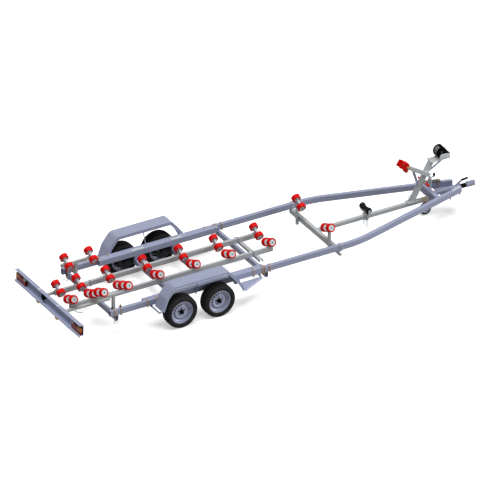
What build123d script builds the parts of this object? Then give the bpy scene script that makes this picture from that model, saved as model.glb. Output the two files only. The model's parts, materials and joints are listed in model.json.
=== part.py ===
# Tandem-axle roller trailer for a boat, parked on its jockey wheel.
# Millimetres.  +X points to the coupling, +Y to the left, +Z up.
# The origin lies on the ground at the middle of the trailer's length and width.
import os
from math import atan2, cos, degrees, radians, sin

from build123d import *

os.makedirs("parts", exist_ok=True)

# ---------------------------------------------------------------- main rails
rail_height = 100
rail_width = 60
rail_wall = 4
rail_corner = 8
rail_bottom = 400
rail_outer_y = 771
rail_rear_x = -3121
rail_bend_x = 1289
rail_bend_radius = 1700
rail_front_x = 3463
rail_front_y = 126
rail_top = rail_bottom + rail_height
rail_centre_y = rail_outer_y - rail_width / 2
rail_inner_y = rail_outer_y - rail_width
rail_turn = atan2(rail_centre_y - rail_front_y, rail_front_x - rail_bend_x)

# ------------------------------------------- beams beside and across the rails
axle_beam_width = 60
axle_beam_rear_x = -2508
axle_beam_front_x = -403
cross_height = 90
cross_depth = 46
cross_wall = 4
rear_cross_x = -3029
front_cross_x = -385
carrier_height = 45
carrier_depth = 60
carrier_rear_x = -273
carrier_half_length = 406
post_channel_x = 928
post_channel_depth = 57
nose_cross_x = 2958
nose_cross_depth = 70
nose_cross_height = 125
plate_wall = 6

# ------------------------------------------------------ keel beams and rollers
keel_beam_y = 239
keel_beam_width = 45
keel_beam_height = 80
keel_beam_wall = 4
keel_beam_rear_x = -3534
keel_beam_front_x = 43
keel_stations = (-3494, -3135, -2623, -1969, -1329, -709, 6)

roller_radius = 70
roller_width = 75
roller_edge = 12
roller_hub_radius = 46
roller_hub_sink = 3
roller_spacing = 180
roller_tilt = 25
roller_gap = 5
pin_radius = 10
pin_clearance = 0.3
pin_sink = 8
seat_inset = 46
seat_rise = 54
stem_width = 36
stem_foot_length = 60
stem_foot_height = 10

side_beam_y = 580
side_beam_size = 40
side_beam_top = 678
side_beam_rear_x = -3225
side_beam_front_x = -2655
side_stations = (-3154, -2723)
side_post_width = 50
side_post_depth = 40
side_post_bottom = 315
small_wall = 3

front_post_y = 492
front_post_size = 40
front_post_bottom = 252
front_post_top = 603

# ------------------------------------------------------------ axles and wheels
wheel_radius = 270
wheel_y = 922
rear_wheel_x = -1986
tyre_gap = 124
wheel_stations = {"rear": rear_wheel_x, "front": rear_wheel_x + 2 * wheel_radius + tyre_gap}
arm_reach = 169
axle_tube_size = 85
axle_tube_wall = 6
arm_thickness = 30
arm_end_radius = 36
stub_radius = 20
brake_plate_radius = 118
brake_plate_thickness = 6
bracket_length = 120
bracket_width = 50
bracket_wall = 6

tyre_width = 198
tread_width = 168
tyre_shoulder = 22
tyre_to_axle_tube = 78
axle_tube_half = wheel_y - tyre_width / 2 - tyre_to_axle_tube
rim_flange_radius = 190
rim_flange_half = 72
rim_seat_radius = 170.7
seat_clearance = 0.3
rim_well_radius = 150
rim_wall = 5
disc_offset = 38
disc_thickness = 6
vent_count = 16
vent_radius = 11
vent_circle = 122
bolt_count = 5
bolt_circle = 112
bolt_radius = 7
cap_radius = 33
cap_height = 34
drum_radius = 112
drum_wall = 8
drum_gap = 7
hub_radius = 42

# ------------------------------------------------------------------ mudguards
guard_outer_y = 1004
guard_sheet = 3
guard_inner_skirt = 54
guard_outer_skirt = 38
guard_corner = 100
guard_top = 751
guard_rear_end = 375
guard_front_end = 345
# the arch's corners: how far behind the rear wheel or ahead of the front one, and how high
guard_rear_reach = ((357, guard_rear_end), (280, 578), (140, guard_top))
guard_front_reach = ((165, guard_top), (288, 606), (380, 477), (450, guard_front_end))
guard_corners = tuple(
    [(wheel_stations["rear"] - reach, height) for reach, height in guard_rear_reach]
    + [(wheel_stations["front"] + reach, height) for reach, height in guard_front_reach]
)
guard_trim_outside = 400
guard_trim_inside = 600
guard_trim_depth = 100
step_front_x = -449
step_lip = 28
step_front_width = 20
stay_width = 40
stay_thickness = 6
stay_radius = 11
stay_setback = 42
stay_drop = 38
stay_hook_length = 85
stay_hook_rise = 33
mid_stay_x = -1619
mid_stay_y = 877
mid_stay_z = 470
mid_stay_radius = 8
step_bracket_places = (-850, -480)

# -------------------------------------------------- centre beam and keel roller
centre_beam_size = 60
centre_beam_wall = 4
centre_beam_top = 398
keel_roller_x = 1840
keel_roller_z = 514
keel_roller_length = 230
keel_roller_end_radius = 52
keel_roller_waist = 36
keel_roller_waist_half = 40
keel_roller_land = 30
keel_roller_edge = 6
keel_ear_gap = 8
keel_ear_thickness = 6
stud_radius = 8
stud_y = 46
stud_bottom = 200
keel_clamp_length = 120
keel_clamp_thickness = 8
cradle_z = 440

# ---------------------------------------------------------- winch and bow stop
post_size = 60
post_depth = 80
post_wall = 4
post_foot_x = 2658
post_head_x = 3010
winch_plate_top = 1034
winch_plate_thickness = 8
winch_plate_rear_x = 2972
winch_plate_length = 347
winch_plate_width = 154
foot_plate_length = 170
foot_plate_width = 110
arm_size = 60
arm_rear_x = 2549
arm_rear_z = 1066
arm_front_x = 2940
arm_front_z = 820
strut_width = 42
brace_width = 32
strut_thickness = 6
strut_foot_x = 2660
strut_head_z = 610
brace_foot_z = 845
brace_head_x = 3216
hand_bar_x = 2874
hand_bar_z = 690
hand_bar_radius = 13
hand_bar_length = 303
hand_bar_lug_radius = 18
hand_bar_lug_width = 36
block_length = 153
block_height = 112
block_rise = 5
block_width = 110
block_notch_depth = 75
block_notch_width = 84
block_y = -30

winch_x = 3162
winch_z = 1154
cheek_radius = 92
cheek_thickness = 10
cheek_half_gap = 50
cheek_nose_radius = 30
cheek_nose_x = 3288
cheek_nose_z = 1092
drum_strap_radius = 74
winch_base_height = 52
winch_base_rear_x = 3081
winch_base_front_x = 3304

# ------------------------------------------------------------------- coupling
housing_rear_x = 3043
housing_front_x = 3520
housing_width = 80
housing_top = 451
base_plate_rear_x = 3151
base_plate_thickness = 8
draw_z = 414
draw_radius = 25
bellows_radius = 38
bellows_front_x = 3628
bellows_ribs = 5
bellows_rib_depth = 9
head_front_x = 3797
head_width = 64
head_bottom = 384
head_top = 444
socket_radius = 25.4
socket_depth = 34
socket_setback = 36
guide_plate_thickness = 12
brake_bracket_width = 12
brake_bracket_side = ((3420, 449), (3512, 449), (3552, 508), (3528, 522))
brake_lever_start = (3540, 0, 512)
brake_lever_end = (3665, 0, 530)
brake_grip_radius = 14
head_handle_side = ((3650, 442), (3700, 442), (3788, 452), (3788, 462), (3650, 462))
head_edge = 10
draw_overlap = 20

# --------------------------------------------------------------- jockey wheel
jockey_x = 3078
jockey_y = 154
jockey_tube_radius = 30
jockey_tube_wall = 5.7
jockey_tube_bottom = 365
jockey_tube_top = 600
jockey_leg_radius = 24
jockey_leg_top = 478
jockey_wheel_radius = 100
jockey_wheel_width = 60
jockey_trail = 80
jockey_cap_height = 14
crank_boss_radius = 11
crank_boss_height = 22
crank_thickness = 8
crank_reach = 76
crank_knob_radius = 14
crank_knob_height = 50
clamp_block_half = 32
clamp_block_rise = 10
clamp_plate_ahead = 80
clamp_plate_length = 250
clamp_plate_width = 84
leg_collar_height = 16
fork_front_reach = 20
fork_front_drop = 60
fork_eye_radius = 22
jockey_tyre_step = 12
jockey_tyre_side = 88
jockey_disc_inset = 8
jockey_disc_radius = 62
jockey_hub_radius = 28
jockey_hub_face = 24
fork_gap = 6
fork_sheet = 6
fork_top = 222
jockey_pin_radius = 8
swivel_gap = 2
king_pin_radius = 10
king_pin_end = 8

# ---------------------------------------------------------------- light board
board_length = 2020
board_rear_x = -3797
board_depth = 65
board_top = 554
board_shelf = 378
board_bottom = 343
board_sheet = 4
slider_width = 50
slider_height = 30
slider_wall = 3
slider_side_gap = 3.5
slider_seat_gap = 0.3
slider_front_x = -2865
lamp_length = 320
lamp_height = 110
lamp_depth = 46
lamp_inset = 12


def tube_between(start, end, width, height, wall, corner=0.0):
    """A straight rectangular tube from start to end, its height turned as near to +Z as it goes."""
    run = Vector(*end) - Vector(*start)
    up = Vector(0, 0, 1)
    if abs(run.normalized().Z) > 0.99:
        up = Vector(1, 0, 0)
    section_plane = Plane(origin=start, x_dir=up.cross(run), z_dir=run)
    with BuildPart() as tube:
        with BuildSketch(section_plane):
            if corner > 0:
                RectangleRounded(width, height, corner)
            else:
                Rectangle(width, height)
            Rectangle(width - 2 * wall, height - 2 * wall, mode=Mode.SUBTRACT)
        extrude(amount=run.length)
    return tube.part


def flat_bar(start, end, width, thickness):
    """A flat bar from start to end, its width upright and its thickness across."""
    run = Vector(*end) - Vector(*start)
    with BuildPart() as bar:
        with BuildSketch(Plane(origin=start, x_dir=Vector(0, 0, 1).cross(run), z_dir=run)):
            Rectangle(thickness, width)
        extrude(amount=run.length)
    return bar.part


def mirrored(part):
    """The same piece on the other side of the trailer."""
    with BuildPart() as other_side:
        mirror(part, about=Plane.XZ)
    return other_side.part


def rail_y(x):
    """The middle of the left rail's converging part, at a place along the trailer."""
    share = (x - rail_bend_x) / (rail_front_x - rail_bend_x)
    return rail_centre_y + (rail_front_y - rail_centre_y) * share


def rail_inner(x):
    """The inner face of the left rail's converging part, at a place along the trailer."""
    return rail_y(x) - rail_width / 2 / cos(rail_turn)


def pair_plane(x, y, z, side):
    """The plane at a roller pair's middle, its Z along the pin, rising outwards."""
    tilt = radians(roller_tilt)
    return Plane(origin=(x, side * y, z), x_dir=(1, 0, 0), z_dir=(0, side * cos(tilt), sin(tilt)))


def roller_carrier(x, y, top, side):
    """The foot, stem, cross-piece and pin that hold one roller pair over a beam's top."""
    middle = pair_plane(x, y - seat_inset, top + seat_rise, side)
    cross_half = (roller_spacing - roller_width) / 2 - roller_gap
    pin_half = (roller_spacing + roller_width) / 2 - pin_sink
    foot_y = side * y
    with BuildPart() as carrier:
        with BuildSketch(middle.offset(-cross_half)):
            Rectangle(stem_width, stem_width)
        extrude(amount=2 * cross_half)
        with BuildSketch(middle.offset(-pin_half)):
            Circle(pin_radius)
        extrude(amount=2 * pin_half)
        with BuildSketch(Plane.YZ.offset(x - stem_width / 2)):
            with BuildLine():
                Polyline(
                    (foot_y + side * stem_width / 2, top),
                    (foot_y + side * stem_width / 2, top + stem_foot_height),
                    (side * (y - seat_inset + stem_width / 2), top + seat_rise),
                    (side * (y - seat_inset - stem_width / 2), top + seat_rise),
                    (foot_y - side * stem_width / 2, top),
                    close=True,
                )
            make_face()
        extrude(amount=stem_width)
        with BuildSketch(Plane.XY.offset(top)):
            with Locations((x, foot_y)):
                Rectangle(stem_foot_length, stem_width)
        extrude(amount=stem_foot_height)
    return carrier.part


def roller_pair(x, y, top, side):
    """Two rollers on one pin, each with a sunk hub and rounded edges."""
    middle = pair_plane(x, y - seat_inset, top + seat_rise, side)
    half = roller_width / 2
    bore = pin_radius + pin_clearance
    with BuildPart() as pair:
        for shift in (-roller_spacing / 2, roller_spacing / 2):
            roller_middle = middle.offset(shift)
            section_plane = Plane(roller_middle.origin, x_dir=middle.x_dir, z_dir=middle.y_dir)
            with BuildSketch(section_plane) as section:
                Polygon(
                    (bore, -half + roller_hub_sink),
                    (roller_hub_radius, -half + roller_hub_sink),
                    (roller_hub_radius, -half),
                    (roller_radius, -half),
                    (roller_radius, half),
                    (roller_hub_radius, half),
                    (roller_hub_radius, half - roller_hub_sink),
                    (bore, half - roller_hub_sink),
                    align=None,
                )
                fillet(section.vertices().group_by(Axis.X)[-1], roller_edge)
            revolve(axis=Axis(roller_middle.origin, middle.z_dir))
    return pair.part


# ---------------------------------------------------------------- main rails
with BuildPart() as rail_left:
    with BuildLine(Plane.XY.offset(rail_bottom + rail_height / 2)) as rail_path:
        FilletPolyline(
            (rail_rear_x, rail_centre_y),
            (rail_bend_x, rail_centre_y),
            (rail_front_x, rail_front_y),
            radius=rail_bend_radius,
        )
    with BuildSketch(Plane(origin=rail_path.line @ 0, x_dir=(0, 1, 0), z_dir=(1, 0, 0))):
        RectangleRounded(rail_width, rail_height, rail_corner)
        Rectangle(rail_width - 2 * rail_wall, rail_height - 2 * rail_wall, mode=Mode.SUBTRACT)
    sweep()

axle_beam_y = rail_inner_y - axle_beam_width / 2
rail_middle_z = rail_bottom + rail_height / 2
axle_beam_left = tube_between(
    (axle_beam_rear_x, axle_beam_y, rail_middle_z),
    (axle_beam_front_x, axle_beam_y, rail_middle_z),
    axle_beam_width,
    rail_height,
    rail_wall,
    rail_corner,
)

# -------------------------------------------------------------- cross-members
cross_middle_z = rail_bottom - cross_height / 2
rear_crossmember = tube_between(
    (rear_cross_x + cross_depth / 2, -rail_outer_y, cross_middle_z),
    (rear_cross_x + cross_depth / 2, rail_outer_y, cross_middle_z),
    cross_depth,
    cross_height,
    cross_wall,
)
front_crossmember = tube_between(
    (front_cross_x + cross_depth / 2, -rail_outer_y, cross_middle_z),
    (front_cross_x + cross_depth / 2, rail_outer_y, cross_middle_z),
    cross_depth,
    cross_height,
    cross_wall,
)

# an open channel, its back to the rear, under the front ends of the keel beams
with BuildPart() as carrier_channel:
    with BuildSketch(Plane.XZ.offset(-carrier_half_length)):
        with Locations((carrier_rear_x + carrier_depth / 2, rail_bottom - carrier_height / 2)):
            Rectangle(carrier_depth, carrier_height)
        with Locations(
            (carrier_rear_x + carrier_depth / 2, rail_bottom - carrier_height / 2 - small_wall)
        ):
            Rectangle(carrier_depth - 2 * small_wall, carrier_height, mode=Mode.SUBTRACT)
    extrude(amount=2 * carrier_half_length)

# the channel under the rails ahead of the bend, with the two front roller posts on its back
post_x = post_channel_x - front_post_size / 2
front_carriers = [
    roller_carrier(post_x, front_post_y, front_post_top, side) for side in (-1, 1)
]
front_posts = [
    tube_between(
        (post_x, side * front_post_y, front_post_bottom),
        (post_x, side * front_post_y, front_post_top),
        front_post_size,
        front_post_size,
        small_wall,
    )
    for side in (-1, 1)
]
with BuildPart() as front_roller_frame:
    with BuildSketch(Plane.XZ.offset(-rail_outer_y)):
        with Locations((post_channel_x + post_channel_depth / 2, cross_middle_z)):
            Rectangle(post_channel_depth, cross_height)
        with Locations((post_channel_x + post_channel_depth / 2 + cross_wall, cross_middle_z)):
            Rectangle(post_channel_depth, cross_height - 2 * cross_wall, mode=Mode.SUBTRACT)
    extrude(amount=2 * rail_outer_y)
    add(front_posts)
    add(front_carriers)

# the nose cross-member: an upright rear plate and a top flange between the converging rails
nose_front_x = nose_cross_x + nose_cross_depth
with BuildPart() as nose_crossmember:
    with BuildSketch(Plane.XY.offset(rail_top - plate_wall)):
        Polygon(
            (nose_cross_x, rail_inner(nose_cross_x)),
            (nose_cross_x, -rail_inner(nose_cross_x)),
            (nose_front_x, -rail_inner(nose_front_x)),
            (nose_front_x, rail_inner(nose_front_x)),
            align=None,
        )
    extrude(amount=plate_wall)
    nose_plate_front = nose_cross_x + plate_wall
    with BuildSketch(Plane.XY.offset(rail_top - nose_cross_height)):
        Polygon(
            (nose_cross_x, rail_inner(nose_cross_x)),
            (nose_cross_x, -rail_inner(nose_cross_x)),
            (nose_plate_front, -rail_inner(nose_plate_front)),
            (nose_plate_front, rail_inner(nose_plate_front)),
            align=None,
        )
    extrude(amount=nose_cross_height - plate_wall)

# ------------------------------------------------------------- keel beams
keel_beam_top = rail_bottom + keel_beam_height
keel_beam_middle_z = rail_bottom + keel_beam_height / 2
keel_beam_tube = tube_between(
    (keel_beam_rear_x, keel_beam_y, keel_beam_middle_z),
    (keel_beam_front_x, keel_beam_y, keel_beam_middle_z),
    keel_beam_width,
    keel_beam_height,
    keel_beam_wall,
)
keel_carriers = [roller_carrier(x, keel_beam_y, keel_beam_top, 1) for x in keel_stations]
with BuildPart() as keel_beam_left:
    add(keel_beam_tube)
    add(keel_carriers)

# ------------------------------------------------- side beams on their posts
side_beam_middle_z = side_beam_top - side_beam_size / 2
side_post_x = rear_cross_x + cross_depth + side_post_depth / 2
side_beam_tube = tube_between(
    (side_beam_rear_x, side_beam_y, side_beam_middle_z),
    (side_beam_front_x, side_beam_y, side_beam_middle_z),
    side_beam_size,
    side_beam_size,
    small_wall,
)
side_post = tube_between(
    (side_post_x, side_beam_y, side_post_bottom),
    (side_post_x, side_beam_y, side_beam_top - side_beam_size),
    side_post_width,
    side_post_depth,
    small_wall,
)
side_carriers = [roller_carrier(x, side_beam_y, side_beam_top, 1) for x in side_stations]
with BuildPart() as side_beam_left:
    add(side_beam_tube)
    add(side_post)
    add(side_carriers)

# ------------------------------------------------------------------- axles
axle_nodes = {}
stub_length = wheel_y - axle_tube_half
for end_name, wheel_x in wheel_stations.items():
    tube_x = wheel_x + arm_reach
    axle_tube = tube_between(
        (tube_x, -axle_tube_half, wheel_radius),
        (tube_x, axle_tube_half, wheel_radius),
        axle_tube_size,
        axle_tube_size,
        axle_tube_wall,
        rail_corner,
    )
    bracket_bottom = wheel_radius + axle_tube_size / 2
    brackets = [
        tube_between(
            (tube_x, side * axle_beam_y, bracket_bottom),
            (tube_x, side * axle_beam_y, rail_bottom),
            bracket_width,
            bracket_length,
            bracket_wall,
        )
        for side in (-1, 1)
    ]
    with BuildPart() as axle:
        add(axle_tube)
        add(brackets)
        for side in (-1, 1):
            arm_plane = Plane.XZ.offset(-side * axle_tube_half)
            with BuildSketch(arm_plane):
                with Locations((tube_x, wheel_radius)):
                    Circle(axle_tube_size / 2 + rail_corner)
                with Locations((wheel_x, wheel_radius)):
                    Circle(arm_end_radius)
                make_hull()
            extrude(amount=-side * arm_thickness)
            with BuildSketch(arm_plane):
                with Locations((wheel_x, wheel_radius)):
                    Circle(stub_radius)
            extrude(amount=-side * stub_length)
            with BuildSketch(Plane.XZ.offset(-side * (axle_tube_half + arm_thickness))):
                with Locations((wheel_x, wheel_radius)):
                    Circle(brake_plate_radius)
            extrude(amount=-side * brake_plate_thickness)
    axle_nodes[end_name] = axle.part

# ------------------------------------------------------------------ wheels
# section points are (distance outwards from the wheel's middle plane, radius)
half_tyre = tyre_width / 2
half_tread = tread_width / 2
bead_half = rim_flange_half - rim_wall
drum_inner = axle_tube_half + arm_thickness + brake_plate_thickness + drum_gap - wheel_y
hub_bore = stub_radius + pin_clearance
tyre_bead_radius = rim_seat_radius + seat_clearance
bulge_radius = (tyre_bead_radius + wheel_radius) / 2 + 6


def wheel_section(x, side):
    """The upright plane through a wheel's axis: local X outwards, local Y up."""
    return Plane(origin=(x, side * wheel_y, wheel_radius), x_dir=(0, side, 0), z_dir=(side, 0, 0))


def tyre_at(x, side):
    """A tyre's closed ring: beads on the rim, bulged sidewalls and a flat tread."""
    half_section = (
        (bead_half - seat_clearance, tyre_bead_radius),
        (bead_half - seat_clearance, rim_flange_radius + 1),
        (half_tyre - 7, rim_flange_radius + 5),
        (half_tyre, bulge_radius),
        (half_tyre - 4, wheel_radius - 40),
        (half_tread + 4, wheel_radius - tyre_shoulder),
        (half_tread - 8, wheel_radius - 6),
        (half_tread - 30, wheel_radius),
    )
    other_half = [(-out, radius) for out, radius in reversed(half_section)]
    with BuildPart() as tyre:
        with BuildSketch(wheel_section(x, side)):
            Polygon(*half_section, *other_half, align=None)
        revolve(axis=Axis((x, side * wheel_y, wheel_radius), (0, 1, 0)))
    return tyre.part


def rim_at(x, side):
    """A pressed steel rim with its vented disc, hub, cap and brake drum."""
    well_half = rim_flange_half - 34
    inner_seat = rim_seat_radius - rim_wall
    inner_well = rim_well_radius - rim_wall
    face = disc_offset + disc_thickness
    with BuildPart() as rim:
        with BuildSketch(wheel_section(x, side)) as section:
            # the rolled rim between its two flanges
            Polygon(
                (-rim_flange_half, rim_flange_radius),
                (-bead_half, rim_flange_radius),
                (-bead_half, rim_seat_radius),
                (-well_half, rim_seat_radius),
                (10 - well_half, rim_well_radius),
                (well_half - 10, rim_well_radius),
                (well_half, rim_seat_radius),
                (bead_half, rim_seat_radius),
                (bead_half, rim_flange_radius),
                (rim_flange_half, rim_flange_radius),
                (rim_flange_half, inner_seat),
                (well_half + 3, inner_seat),
                (well_half - 7, inner_well),
                (7 - well_half, inner_well),
                (-well_half - 3, inner_seat),
                (-rim_flange_half, inner_seat),
                align=None,
            )
            # the dished disc
            Polygon(
                (disc_offset - 8, inner_well + 1),
                (disc_offset - 8, rim_well_radius - 22),
                (disc_offset + 8, vent_circle - 14),
                (disc_offset, bolt_circle / 2 + 18),
                (disc_offset, 0),
                (face, 0),
                (face, bolt_circle / 2 + 18),
                (face + 8, vent_circle - 14),
                (face - 8, rim_well_radius - 18),
                (face - 8, inner_well + 1),
                align=None,
            )
            # the drum and the hub behind it
            Polygon(
                (drum_inner, hub_bore),
                (disc_offset - 15, hub_bore),
                (disc_offset - 15, 0),
                (disc_offset, 0),
                (disc_offset, drum_radius),
                (drum_inner, drum_radius),
                (drum_inner, drum_radius - drum_wall),
                (disc_offset - drum_wall, drum_radius - drum_wall),
                (disc_offset - drum_wall, hub_radius),
                (drum_inner, hub_radius),
                align=None,
            )
            # the cap over the hub
            Polygon(
                (face, 0),
                (face + cap_height, 0),
                (face + cap_height, cap_radius - 10),
                (face + cap_height - 10, cap_radius),
                (face, cap_radius),
                align=None,
            )
        revolve(axis=Axis((x, side * wheel_y, wheel_radius), (0, 1, 0)))
        behind_disc = wheel_y + disc_offset - drum_wall - 1
        with BuildSketch(Plane.XZ.offset(-side * behind_disc)):
            with Locations((x, wheel_radius)):
                with PolarLocations(vent_circle, vent_count):
                    Circle(vent_radius)
                with PolarLocations(bolt_circle / 2, bolt_count, start_angle=90):
                    Circle(bolt_radius)
        extrude(amount=-side * (face + cap_height - disc_offset + drum_wall), mode=Mode.SUBTRACT)
    return rim.part


# --------------------------------------------------------------- mudguards
guard_inner_y = rail_outer_y
arch_foot_z = guard_front_end - 200
arch_foot_rear = (guard_corners[0][0] - 30, arch_foot_z)
arch_foot_front = (guard_corners[-1][0] + 30, arch_foot_z)


def arch_strip(depth, near_y, far_y):
    """A strip that follows the arch inwards to a depth, between two places across the trailer."""
    rear_x = guard_corners[0][0]
    front_x = guard_corners[-1][0]
    with BuildPart() as strip:
        with BuildSketch(Plane.XZ.offset(-near_y)):
            with BuildLine():
                FilletPolyline(
                    arch_foot_rear, *guard_corners, arch_foot_front, radius=guard_corner
                )
                Line(arch_foot_front, arch_foot_rear)
            make_face()
            offset(amount=-depth, kind=Kind.INTERSECTION, mode=Mode.SUBTRACT)
            Polygon(
                (rear_x - guard_trim_outside, guard_rear_end),
                (rear_x + guard_trim_inside, guard_rear_end),
                (front_x - guard_trim_inside, guard_front_end),
                (front_x + guard_trim_outside, guard_front_end),
                (front_x + guard_trim_outside, arch_foot_z - guard_trim_depth),
                (rear_x - guard_trim_outside, arch_foot_z - guard_trim_depth),
                align=None,
                mode=Mode.SUBTRACT,
            )
        extrude(amount=near_y - far_y)
    return strip.part


guard_strips = [
    arch_strip(guard_sheet, guard_inner_y, guard_outer_y),
    arch_strip(guard_inner_skirt, guard_inner_y, guard_inner_y + guard_sheet),
    arch_strip(guard_outer_skirt, guard_outer_y - guard_sheet, guard_outer_y),
]
step_rear_x = guard_corners[-1][0]
step_top = guard_front_end + guard_sheet
stay_start = Vector(guard_corners[0][0] - stay_setback, rail_inner_y, rail_bottom - stay_drop)
stay_corner = Vector(stay_start.X, guard_outer_y - guard_sheet - stay_radius, stay_start.Z)
stay_end = stay_corner + Vector(stay_hook_length, 0, stay_hook_rise)
with BuildPart() as rear_stay:
    # a rod under the rail, bent up to the guard's rear corner, and the block that hangs it
    for start, end in ((stay_start, stay_corner), (stay_corner, stay_end)):
        with BuildSketch(Plane(origin=start, z_dir=end - start)):
            Circle(stay_radius)
        extrude(amount=(end - start).length)
    with Locations(stay_corner):
        Sphere(stay_radius)
    with BuildSketch(Plane.XY.offset(stay_start.Z)):
        with Locations((stay_start.X, rail_inner_y + rail_width / 4)):
            Rectangle(stay_width, rail_width / 2)
    extrude(amount=stay_drop)
step_brackets = [
    flat_bar(
        (x, rail_inner_y, (rail_bottom + step_top) / 2),
        (x, rail_outer_y + step_front_width, (rail_bottom + step_top) / 2),
        rail_bottom - step_top,
        stay_thickness,
    )
    for x in step_bracket_places
]
step_outer_rear = Vector(step_rear_x, guard_outer_y, 0)
step_outer_front = Vector(step_front_x, rail_outer_y + step_front_width, 0)
step_run = step_outer_front - step_outer_rear
mid_stay_foot = 2 * mid_stay_radius
mid_stay_start = Vector(mid_stay_x, rail_outer_y + mid_stay_foot / 2, mid_stay_z)
mid_stay_run = Vector(mid_stay_x, mid_stay_y, guard_top - guard_sheet) - mid_stay_start
with BuildPart() as mudguard_left:
    add(guard_strips)
    add(rear_stay.part)
    add(step_brackets)
    with BuildSketch(Plane.XY.offset(guard_front_end)):
        Polygon(
            (step_rear_x - guard_sheet, rail_outer_y),
            (step_rear_x - guard_sheet, guard_outer_y),
            (step_outer_rear.X, step_outer_rear.Y),
            (step_outer_front.X, step_outer_front.Y),
            (step_outer_front.X, rail_outer_y),
            align=None,
        )
    extrude(amount=guard_sheet)
    lip_plane = Plane(
        origin=step_outer_rear + Vector(0, 0, step_top), x_dir=step_run, z_dir=Vector(0, 0, 1)
    )
    with BuildSketch(lip_plane):
        with Locations((step_run.length / 2, -guard_sheet / 2)):
            Rectangle(step_run.length, guard_sheet)
    extrude(amount=-step_lip)
    with BuildSketch(Plane(origin=mid_stay_start, z_dir=mid_stay_run)):
        Circle(mid_stay_radius)
    extrude(amount=mid_stay_run.length)
    # the stay's foot on the rail's face
    with BuildSketch(Plane.XZ.offset(-rail_outer_y)):
        with Locations((mid_stay_x, mid_stay_z)):
            Rectangle(2 * mid_stay_foot, 2 * mid_stay_foot)
    extrude(amount=-mid_stay_foot)

# -------------------------------------------------- centre beam and keel roller
centre_beam_middle_z = centre_beam_top - centre_beam_size / 2
centre_beam_tube = tube_between(
    (post_channel_x + post_channel_depth, 0, centre_beam_middle_z),
    (nose_cross_x, 0, centre_beam_middle_z),
    centre_beam_size,
    centre_beam_size,
    centre_beam_wall,
)
ear_y = keel_roller_length / 2 + keel_ear_gap
with BuildPart() as centre_beam:
    add(centre_beam_tube)
    # clamp plates over and under the beam
    for plate_z in (centre_beam_top, centre_beam_top - centre_beam_size - keel_clamp_thickness):
        with BuildSketch(Plane.XY.offset(plate_z)):
            with Locations((keel_roller_x, 0)):
                Rectangle(keel_clamp_length / 2, 2 * (stud_y + 2 * stud_radius))
        extrude(amount=keel_clamp_thickness)
    # the two long studs
    with BuildSketch(Plane.XY.offset(stud_bottom)):
        with Locations((keel_roller_x, stud_y), (keel_roller_x, -stud_y)):
            Circle(stud_radius)
    extrude(amount=cradle_z - stud_bottom)
    # the cradle: a floor and two ears with the roller's pin between them
    with BuildSketch(Plane.XY.offset(cradle_z)):
        with Locations((keel_roller_x, 0)):
            Rectangle(stay_width, 2 * (ear_y + keel_ear_thickness))
    extrude(amount=keel_ear_thickness)
    for ear_start in (-ear_y, ear_y + keel_ear_thickness):
        with BuildSketch(Plane.XZ.offset(-ear_start)):
            with Locations((keel_roller_x, keel_roller_z)):
                Circle(stay_width / 2)
            with Locations((keel_roller_x, (keel_roller_z + cradle_z) / 2)):
                Rectangle(stay_width, keel_roller_z - cradle_z)
        extrude(amount=keel_ear_thickness)
    with BuildSketch(Plane.XZ.offset(-ear_y)):
        with Locations((keel_roller_x, keel_roller_z)):
            Circle(pin_radius)
    extrude(amount=2 * ear_y)

half_keel_roller = keel_roller_length / 2
with BuildPart() as keel_roller:
    with BuildSketch(Plane(origin=(keel_roller_x, 0, keel_roller_z), x_dir=(0, 1, 0), z_dir=(1, 0, 0))):
        Polygon(
            (-half_keel_roller, pin_radius + pin_clearance),
            (-half_keel_roller, keel_roller_end_radius - keel_roller_edge),
            (keel_roller_edge - half_keel_roller, keel_roller_end_radius),
            (keel_roller_land - half_keel_roller, keel_roller_end_radius),
            (-keel_roller_waist_half, keel_roller_waist),
            (keel_roller_waist_half, keel_roller_waist),
            (half_keel_roller - keel_roller_land, keel_roller_end_radius),
            (half_keel_roller - keel_roller_edge, keel_roller_end_radius),
            (half_keel_roller, keel_roller_end_radius - keel_roller_edge),
            (half_keel_roller, pin_radius + pin_clearance),
            align=None,
        )
    revolve(axis=Axis((keel_roller_x, 0, keel_roller_z), (0, 1, 0)))

# ---------------------------------------------------------- winch and bow stop
winch_plate_bottom = winch_plate_top - winch_plate_thickness
post_lean = (post_head_x - post_foot_x) / (winch_plate_bottom - centre_beam_top)
post_over = 60
leaning_post = tube_between(
    (post_foot_x - post_lean * post_over, 0, centre_beam_top - post_over),
    (post_head_x + post_lean * post_over, 0, winch_plate_bottom + post_over),
    post_size,
    post_depth,
    post_wall,
)
arm_y = -(post_size + arm_size) / 2
bow_arm = tube_between(
    (arm_rear_x, arm_y, arm_rear_z), (arm_front_x, arm_y, arm_front_z), arm_size, arm_size, small_wall
)
# both bars are flush with the post's side, where the arm meets it
strut_y = (strut_thickness - post_size) / 2


def post_at(z):
    """The middle of the leaning post at a height."""
    return post_foot_x + (z - centre_beam_top) * post_lean


def arm_at(x):
    """The height of the bow-stop arm's middle at a place along the trailer."""
    return arm_rear_z + (arm_front_z - arm_rear_z) * (x - arm_rear_x) / (arm_front_x - arm_rear_x)


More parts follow.
